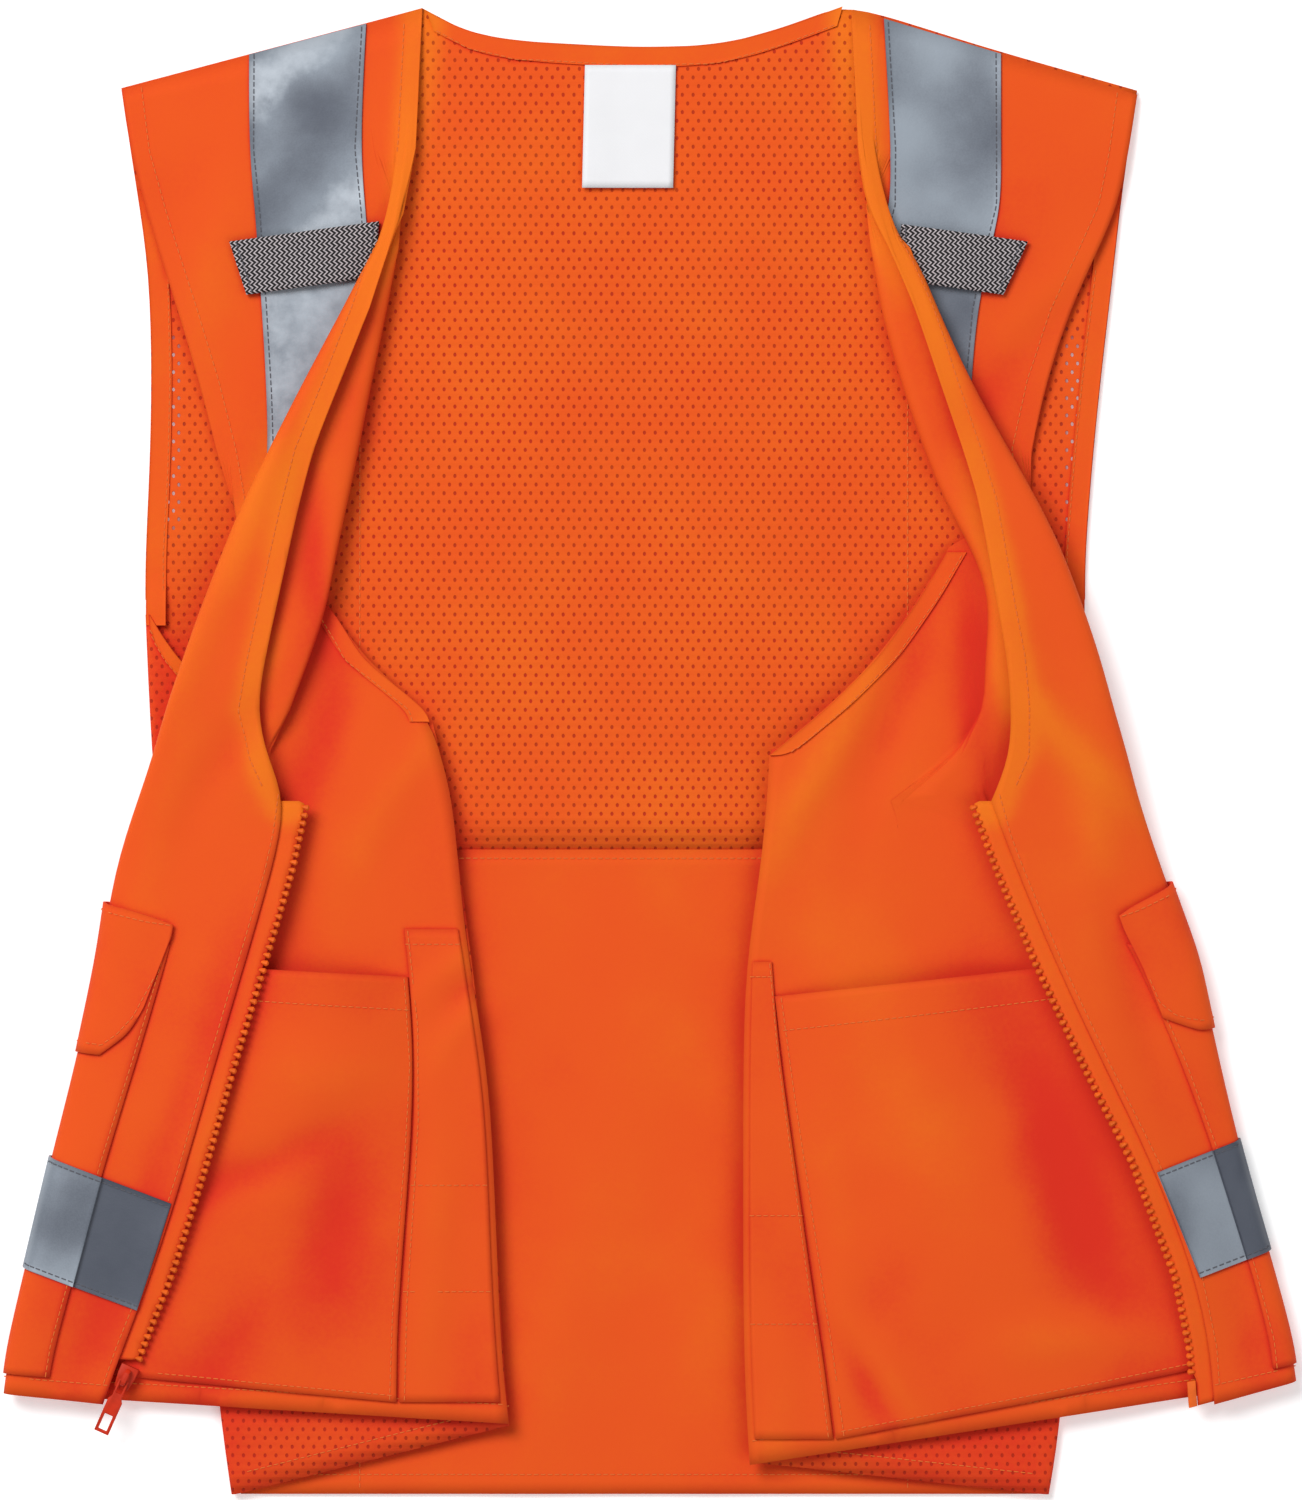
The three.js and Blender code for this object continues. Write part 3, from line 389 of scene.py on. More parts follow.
# Ridges of the cloth: x, y, angle, half length, half width and height, in mm and degrees; their heights also
# give the cloth painted highlight on ridges and painted shade in troughs
WRINKLES = [
    (-205, 60, 68, 90, 11, 1.9), (-185, 10, 60, 60, 9, -1.7), (-228, -40, 80, 70, 12, 1.5),
    (-155, 92, 100, 48, 8, -2.2), (-205, 210, 84, 60, 16, 1.5), (-180, 120, 76, 40, 8, 1.4),
    (-215, 262, 70, 50, 20, -1.5), (165, 60, 112, 80, 11, 1.8), (190, 5, 140, 50, 9, 2.0),
    (192, 215, 52, 56, 9, 1.9), (178, 190, 52, 60, 10, -1.6), (150, 42, 95, 50, 9, -2.3),
    (205, -40, 100, 60, 12, 1.4), (-152, 5, 80, 46, 13, -2.4), (-112, -10, 62, 50, 9, 1.5),
    (82, -2, 66, 62, 9, 2.2), (112, 15, 76, 60, 10, -2.0), (-146, -219, 84, 40, 20, -2.5),
    (-184, -194, 30, 40, 9, -1.9), (-150, -150, 10, 50, 20, 1.7), (-100, -240, 92, 90, 10, 1.3),
    (-80, -92, 40, 34, 6, 1.6), (-70, -101, 40, 30, 5, -1.7), (-78, -118, 55, 30, 6, 1.2),
    (118, -160, 120, 90, 24, 2.0), (190, -190, 116, 95, 21, -3.0), (88, -262, 96, 70, 11, 1.4),
    (112, -292, 128, 34, 8, 1.7), (98, -290, 128, 30, 7, -1.8), (205, -272, 6, 40, 12, 1.6),
    (60, -310, 95, 40, 10, 1.2), (-200, -285, 70, 50, 16, -1.8), (-258, -275, 70, 40, 14, -2.0),
    (-275, -215, 72, 50, 9, 1.0), (275, -265, 108, 40, 12, -1.8), (272, -150, 108, 50, 9, 1.2),
    (-212, -160, 74, 80, 11, -1.9), (-240, -50, 76, 60, 12, -1.2), (222, -110, 112, 60, 9, -1.5),
]
SWELLS = [  # the same for the back alone, lifted off the floor between the fronts
    (-60, 130, 92, 170, 40, 1.2), (50, 110, 88, 170, 40, 1.2), (-5, -60, 90, 120, 46, 0.9),
    (-20, -200, 84, 120, 26, 1.3), (25, -250, 95, 90, 22, 1.1), (-50, -290, 80, 60, 16, 0.9),
    (-60, 250, 140, 60, 22, 0.9), (60, 250, 40, 60, 22, 0.9),
]
RISE, BACK_RISE = (3.2, 9.0), (1.1, 1.9)  # heights between which wrinkles and swells grow, in mm
LEFT, RIGHT = (-215, -120), (100, 190)  # where the swells fade out, across the back
HEM, NECK = (-330, -290), (290, 335)  # where the wrinkles grow weak, along the vest
# The turned front edges below get painted highlight, fading out between these distances from the edge
EDGE_FADE = (5, 17)  # from a turned edge, in mm
TURNED_EDGES = [  # front edges, where the turned strip catches the light and fades, in mm
    [(-105, 342, 4), (-108, 277, 9), (-114, 247, 13), (-129, 203, 21), (-155, 138, 22), (-172, 64, 26),
     (-181, 18, 25), (-176, -4, 24), (-167, -24, 23)],
    [(93, 341, 4), (96, 277, 9), (99, 251, 13), (122, 203, 21), (144, 138, 22), (159, 69, 26),
     (166, 20, 25), (166, -3, 24), (157, -24, 23)],
]


def ridges(x, y, rows):
    """Height of all ridges in the rows, in mm"""
    total = np.zeros_like(x)
    for cx, cy, angle, half_length, half_width, height in rows:
        c, s = math.cos(math.radians(angle)), math.sin(math.radians(angle))
        u, v = (x - cx) * c + (y - cy) * s, (y - cy) * c - (x - cx) * s
        v = v + 0.06 * half_length * np.sin(u / half_length * 2.1)
        total += height * np.exp(-((u / half_length) ** 2) - (v / half_width) ** 2)
    return total


def ripples(x, y):
    """Slow unevenness that no cloth is without"""
    return (0.32 * np.sin(x / 23 + 1.3 * np.sin(y / 61)) * np.sin(y / 37 + 0.7)
            + 0.22 * np.sin(x / 11.3 + y / 29 + 1.1) * np.sin(y / 17.9 - x / 47)
            + 0.14 * np.sin(y / 7.9 + 2.0 * np.sin(x / 31)) * np.sin(x / 13.1 + 0.4))


def smooth(low, high, value):
    """0 at low, 1 at high, smooth between"""
    t = np.clip((value - low) / (high - low), 0, 1)
    return t * t * (3 - 2 * t)


def even(points, step):
    """Points at even steps along a line"""
    along = np.concatenate([[0], np.cumsum(np.linalg.norm(np.diff(points, axis=0), axis=1))])
    count = max(2, int(round(along[-1] / step)) + 1)
    return np.stack([np.interp(np.linspace(0, along[-1], count), along, points[:, i]) for i in range(3)], 1)


def lift_of(points):
    """Lift of an array of points, both in mm"""
    x, y, z = points.T
    middle = smooth(*LEFT, x) * (1 - smooth(*RIGHT, x))
    swell = smooth(*BACK_RISE, z) * middle * np.maximum(ridges(x, y, SWELLS), 0)
    inside = smooth(*HEM, y) * (1 - smooth(*NECK, y))
    wave = smooth(*RISE, z) * (ridges(x, y, WRINKLES) * 0.9 + ripples(x, y)) * (0.45 + 0.55 * inside)
    return bpy.context.scene.vest.sizes.wrinkle * (swell + wave)


def drape(points):
    """Moves an array of points, in metres"""
    moved = points.copy()
    moved[:, 2] += lift_of(points / MM) * MM
    return moved


def painted_light_of(points):
    """Painted highlight and shade of an array of points, in metres: 0.5 is plain cloth, more is painted
    highlight on ridges, swells and turned edges, less is painted shade in troughs
    """
    points = points / MM
    x, y, z = points.T
    tone = 0.5 + 0.16 * smooth(*RISE, z) * ridges(x, y, WRINKLES) + 0.06 * ridges(x, y, SWELLS)
    for edge in TURNED_EDGES:
        line = even(np.array(edge, float), 4)
        far = np.min([np.hypot(np.hypot(x - a, y - b), 2 * (z - c)) for a, b, c in line], axis=0)
        tone += 0.5 * (1 - smooth(*EDGE_FADE, far))
    return np.clip(tone, 0, 1)


# Pieces made from CAD nodes

WALL = 1.7 * MM  # a rim is narrower
SHARP, BEND = 1.1, 0.7  # turns of a sheet at its rim and along it, in radians
MERGE = 0.01 * MM
UP = np.array([0.0, 0.0, 1.0])
SOFT_ANGLE, HARD_ANGLE = math.radians(50), math.radians(40)  # what is shaded smooth
# Spots where the folds of the fronts begin and end: x, y and reach in mm
PINCHES = {"left": [(-116, 252, 24), (-176, -12, 22)], "right": [(101, 256, 24), (117, -18, 38)]}


def new_piece(name, mesh, finish, body=VEST, replaced=()):
    piece = bpy.data.objects.new(name, mesh)
    bpy.context.scene.collection.objects.link(piece)
    mesh.materials.clear()
    mesh.materials.append(finish_of(finish))
    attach(piece, body)
    if replaced:
        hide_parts(*replaced)
    return piece


def choose(piece):
    """Selects one object and makes it active"""
    bpy.ops.object.select_all(action="DESELECT")
    piece.select_set(True)
    bpy.context.view_layer.objects.active = piece


def apply(piece, kind, **settings):
    choose(piece)
    modifier = piece.modifiers.new(kind.title(), kind)
    for name, value in settings.items():
        setattr(modifier, name, value)
    bpy.ops.object.modifier_apply(modifier=modifier.name)


def longest_edge(face):
    return max(edge.calc_length() for edge in face.edges)


def sharp_edges(face):
    """Number of long edges of a face where the sheet turns sharply"""
    half = longest_edge(face) / 2
    return sum(edge.calc_face_angle(0) > SHARP and edge.calc_length() > half for edge in face.edges)


def wall_faces(mesh):
    """Narrow faces round the rim of a sheet"""
    return {f for f in mesh.faces if f.calc_area() / longest_edge(f) < WALL and sharp_edges(f)}


def crease_rim(piece):
    """Creases the edges of a sheet's rim, and marks the rim"""
    mesh = bmesh.new()
    mesh.from_mesh(piece.data)
    rim = wall_faces(mesh)
    crease = mesh.edges.layers.float.new("crease_edge")
    mark = mesh.verts.layers.float.new(RIM)
    for face in rim:
        for vertex in face.verts:
            vertex[mark] = float(vertex[mark] or sharp_edges(face) > 1)
    for edge in mesh.edges:
        walls = sum(face in rim for face in edge.link_faces)
        if walls == 1 or (walls == 2 and edge.calc_face_angle(0) > BEND):
            edge[crease] = 1
    mesh.to_mesh(piece.data)
    mesh.free()


def relax(piece, spots, turns=70):
    """Smooths the piece, but not its rim, round each spot of x, y and reach, in mm"""
    mesh = bmesh.new()
    mesh.from_mesh(piece.data)
    mark = mesh.verts.layers.float[RIM]
    for x, y, reach in spots:
        inner = [v for v in mesh.verts if v[mark] < 0.9
                 and math.hypot(v.co.x - x * MM, v.co.y - y * MM) < reach * MM]
        for _ in range(turns):
            bmesh.ops.smooth_vert(
                mesh, verts=inner, factor=0.5, use_axis_x=True, use_axis_y=True, use_axis_z=True)
    mesh.verts.layers.float.remove(mark)
    mesh.to_mesh(piece.data)
    mesh.free()


def sheet_from(node, finish, levels, settle=drape, thin=0.0, sink=0.0, spots=()):
    """Copy of a sheet node: merged, made quads, rounded between its rims and draped. Thin takes that much
    off its upper face, sink lowers it onto what it is sewn to, and spots are relaxed."""
    piece = new_piece(node + "_cloth", NODES[node].data.copy(), finish, VEST, (node,))
    choose(piece)
    bpy.ops.object.mode_set(mode="EDIT")
    bpy.ops.mesh.select_all(action="SELECT")
    bpy.ops.mesh.remove_doubles(threshold=MERGE)
    bpy.ops.mesh.tris_convert_to_quads(face_threshold=1.0, shape_threshold=1.5)
    bpy.ops.object.mode_set(mode="OBJECT")
    crease_rim(piece)
    apply(piece, "SUBSURF", levels=levels, render_levels=levels)
    relax(piece, spots)
    points, normals = np.empty(len(piece.data.vertices) * 3), np.empty(len(piece.data.vertices) * 3)
    piece.data.vertices.foreach_get("co", points)
    piece.data.vertex_normals.foreach_get("vector", normals)
    points, normals = points.reshape(-1, 3), normals.reshape(-1, 3)
    points = points - normals * thin * smooth(0, 0.4, normals[:, 2:]) - np.array([0, 0, sink])
    # Stores the painted highlight and shade that the cloth's colour follows
    piece.data.attributes.new(PAINTED_LIGHT, "FLOAT", "POINT").data.foreach_set("value", painted_light_of(points))
    piece.data.vertices.foreach_set("co", settle(points).ravel())
    piece.data.update()
    choose(piece)
    bpy.ops.object.shade_smooth_by_angle(angle=SOFT_ANGLE)
    return piece


class PieceOperator:
    """What the operators share"""
    bl_options = {"REGISTER", "UNDO"}

    def execute(self, context):
        self.make(context.scene.vest)
        return {"FINISHED"}


class VEST_OT_panels(PieceOperator, bpy.types.Operator):
    """Woven panels: the fronts and the lower back"""
    bl_idname = "vest.panels"
    bl_label = "Woven panels"

    def make(self, settings):
        start, end, reach, rise = -56, -48.2, 1.6 * MM, 0.45 * MM

        def lap(points):
            """The lower back laps over the mesh at their seam"""
            moved = drape(points)
            seam = smooth(start, end, points[:, 1] / MM)
            moved[:, 1] += reach * smooth(0.9, 1, seam)
            moved[:, 2] += rise * seam
            return moved
        back = sheet_from("back_lower", "cloth", 3, lap)
        for side in SIDES:
            front = sheet_from(f"front_panel_{side}", "cloth", 2, spots=PINCHES[side])


class VEST_OT_mesh(PieceOperator, bpy.types.Operator):
    """Mesh panels: the upper back and the two sides"""
    bl_idname = "vest.mesh"
    bl_label = "Mesh panels"

    def make(self, settings):
        back = sheet_from("back_mesh", "back_mesh", 2)
        for side in SIDES:
            panel = sheet_from(f"side_mesh_{side}", "mesh", 2)


class VEST_OT_pockets(PieceOperator, bpy.types.Operator):
    """Pockets inside and outside, and the flaps of the outer ones"""
    bl_idname = "vest.pockets"
    bl_label = "Pockets"

    def make(self, settings):
        for side in SIDES:
            for name, levels, width, length in (
                    ("inner_pocket", 3, 180, 215), ("pen_pocket", 3, 60, 225),
                    ("outer_pocket", 2, 105, 205), ("pocket_flap", 2, 105, 72)):
                pocket = sheet_from(f"{name}_{side}", "pocket", levels)


class VEST_OT_bindings(PieceOperator, bpy.types.Operator):
    """Folded binding round the neck and the armholes"""
    bl_idname = "vest.bindings"
    bl_label = "Bindings"

    def make(self, settings):
        thin, sink = 0.4 * MM, 0.3 * MM
        end, start, reach, rise = 69, 84, 12 * MM, 2.9 * MM

        def hook(points):
            """The binding of the back runs on over the fold of the mesh side"""
            moved = drape(points)
            down = 1 - smooth(end, start, points[:, 1] / MM)
            moved[:, 1] -= reach * down
            moved[:, 2] += rise * smooth(0.15, 0.7, down)
            return moved
        neck = sheet_from("neck_binding", "trim", 3, drape, thin, sink)
        for side in SIDES:
            for name, length, under in (("side", 165, "side_mesh_{}_cloth"), ("back", 200, "back_mesh_cloth"),
                                        ("front", 110, "front_panel_{}_cloth")):
                settle = hook if name == "back" else drape
                piece = sheet_from(
                    f"armhole_binding_{name}_{side}", "trim", 3, settle, thin, sink)


class VEST_OT_tapes(PieceOperator, bpy.types.Operator):
    """Reflective tape on the shoulders, the waist and the back"""
    bl_idname = "vest.tapes"
    bl_label = "Reflective tape"

    def make(self, settings):
        for side in SIDES:
            front = f"front_panel_{side}_cloth"
            for name, length, under in (
                    ("back_tape", 690, "back_mesh_cloth"), ("shoulder_tape", 235, front),
                    ("waist_tape_pocket", 100, f"outer_pocket_{side}_cloth"),
                    ("waist_tape_front", 60, front)):
                # Two waist tapes are drawn darker all over, in the tape shade colour
                darken = (name, side) in (("waist_tape_front", "left"), ("waist_tape_pocket", "right"))
                bent = (name, side) == ("shoulder_tape", "left")
                finish = "darker_tape" if darken else "bent_tape" if bent else "tape"
                thin, sink = (0, 0) if name == "back_tape" else (0.6 * MM, 0.25 * MM)
                piece = sheet_from(f"{name}_{side}", finish, 3, drape, thin, sink)


class VEST_OT_tabs(PieceOperator, bpy.types.Operator):
    """Webbing tabs across the shoulder tape"""
    bl_idname = "vest.tabs"
    bl_label = "Webbing tabs"

    def make(self, settings):
        for side in SIDES:
            piece = sheet_from(f"mic_tab_{side}", "webbing", 3)


class VEST_OT_label(PieceOperator, bpy.types.Operator):
    """Bare label sewn under the neck binding"""
    bl_idname = "vest.label"
    bl_label = "Neck label"

    def make(self, settings):
        low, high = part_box("neck_label")
        lean, growth, rise, corner = 1.3 * MM, 3.2 * MM, 0.9 * MM, 0.8 * MM

        def curl(points):
            """The label runs up to the binding, leans a little and stands off at its lower left corner"""
            moved = drape(points)
            up = (points[:, 1] - low.y) / (high.y - low.y)
            down = 1 - smooth(0, 45, (points[:, 1] - low.y) / MM)
            moved[:, 0] -= lean * (1 - up)
            moved[:, 1] += growth * up
            moved[:, 2] += down * (rise + corner * smooth(-12, -30, points[:, 0] / MM))
            return moved
        sheet_from("neck_label", "label", 4, curl)


def slices(node, step):
    """Middle of a long node, at even steps along Y, after draping"""
    mesh = NODES[node].data
    ends = np.array([[mesh.vertices[i].co[:] for i in edge.vertices] for edge in mesh.edges])
    low, high = ends[:, :, 1].min(), ends[:, :, 1].max()
    margin, spacing = 3 * MM, 2 * MM
    middles = []
    for y in np.arange(high - margin, low + margin, -spacing):
        a, b = ends[:, 0], ends[:, 1]
        cut = (a[:, 1] - y) * (b[:, 1] - y) < 0
        t = ((y - a[cut, 1]) / (b[cut, 1] - a[cut, 1]))[:, None]
        across = a[cut] + t * (b[cut] - a[cut])
        middles.append((across.min(0) + across.max(0)) / 2)
    return even(drape(np.array(middles)), step)


def copies(name, pattern, places, finish, replaced=()):
    """One mesh that holds a copy of the pattern at each place, given as 4 by 4 arrays"""
    count = len(pattern.vertices)
    points = np.empty(count * 3)
    pattern.vertices.foreach_get("co", points)
    points = np.c_[points.reshape(-1, 3), np.ones(count)]
    faces = [tuple(face.vertices) for face in pattern.polygons]
    placed = np.concatenate([(place @ points.T).T[:, :3] for place in places])
    mesh = bpy.data.meshes.new(name)
    mesh.from_pydata(placed.tolist(), [], [
        tuple(i + n * count for i in face) for n in range(len(places)) for face in faces])
    choose(new_piece(name, mesh, finish, VEST, replaced))
    bpy.ops.object.shade_smooth_by_angle(angle=HARD_ANGLE)


def axes(along, up, origin):
    """Place whose X runs along a line and whose Z is up"""
    along = along / np.linalg.norm(along)
    side = np.cross(up, along)
    side = side / np.linalg.norm(side)
    place = np.eye(4)
    place[:3, 0], place[:3, 1], place[:3, 2], place[:3, 3] = along, side, np.cross(along, side), origin
    return place


def pattern_box(size, taper=1.0, bevel=0.25):
    """Bevelled block, narrowed towards one end, as a mesh to be copied"""
    bpy.ops.object.select_all(action="DESELECT")
    bpy.ops.mesh.primitive_cube_add(size=1)
    block = bpy.context.object
    bpy.ops.object.mode_set(mode="EDIT")
    bpy.ops.transform.resize(value=size)
    bpy.ops.mesh.bevel(offset=bevel * min(size), segments=1, affect="EDGES")
    bpy.ops.object.mode_set(mode="OBJECT")
    mesh = block.data
    for vertex in mesh.vertices:
        if vertex.co.y > 0:
            vertex.co.x *= taper
    bpy.data.objects.remove(block)
    return mesh


class VEST_OT_zip(PieceOperator, bpy.types.Operator):
    """Zip tapes, separate teeth, slider, pull and pin"""
    bl_idname = "vest.zip"
    bl_label = "Zip"

    def make(self, settings):
        tooth = pattern_box((2.7 * MM, 3.6 * MM, 2.7 * MM), 0.7, 0.3)
        near, pull_in = 3.4 * MM, 1.3 * MM
        for side, inward in zip(SIDES, (1, -1)):
            line = slices(f"zipper_teeth_{side}", settings.sizes.tooth_pitch)

            def reach(points):
                """The tape's edge runs in under the teeth"""
                moved = drape(points)
                for n, point in enumerate(moved):
                    way = line[np.argmin(np.hypot(*(line - point)[:, :2].T))] - point
                    far = math.hypot(way[0], way[1])
                    if far < near:
                        moved[n, :2] += way[:2] / far * pull_in
                return moved
            tape = sheet_from(f"zipper_tape_{side}", "trim", 2, reach)
            ways = np.gradient(line, axis=0)
            places = [axes(way * -inward, UP, spot) for way, spot in zip(ways, line)]
            copies(f"teeth_{side}", tooth, places, "plastic", (f"zipper_teeth_{side}",))
        for node, body in (("zipper_slider", VEST), ("zipper_pull", PULL), ("zipper_pin", VEST)):
            finish = "plastic" if node == "zipper_pin" else "slider"
            mesh = NODES[node].data.copy()
            piece = new_piece(node + "_moulded", mesh, finish, body, (node,))
            choose(piece)
            bpy.ops.object.mode_set(mode="EDIT")
            bpy.ops.mesh.select_all(action="SELECT")
            bpy.ops.mesh.remove_doubles(threshold=MERGE)
            bpy.ops.mesh.dissolve_limited(angle_limit=math.radians(2))
            bpy.ops.object.mode_set(mode="OBJECT")
            apply(piece, "BEVEL", width=0.28 * MM, segments=2, limit_method="ANGLE",
                  angle_limit=math.radians(35))
            choose(piece)
            bpy.ops.object.shade_smooth_by_angle(angle=HARD_ANGLE)


SEAM_REACH = 6 * MM  # farthest that a stitch is from its line
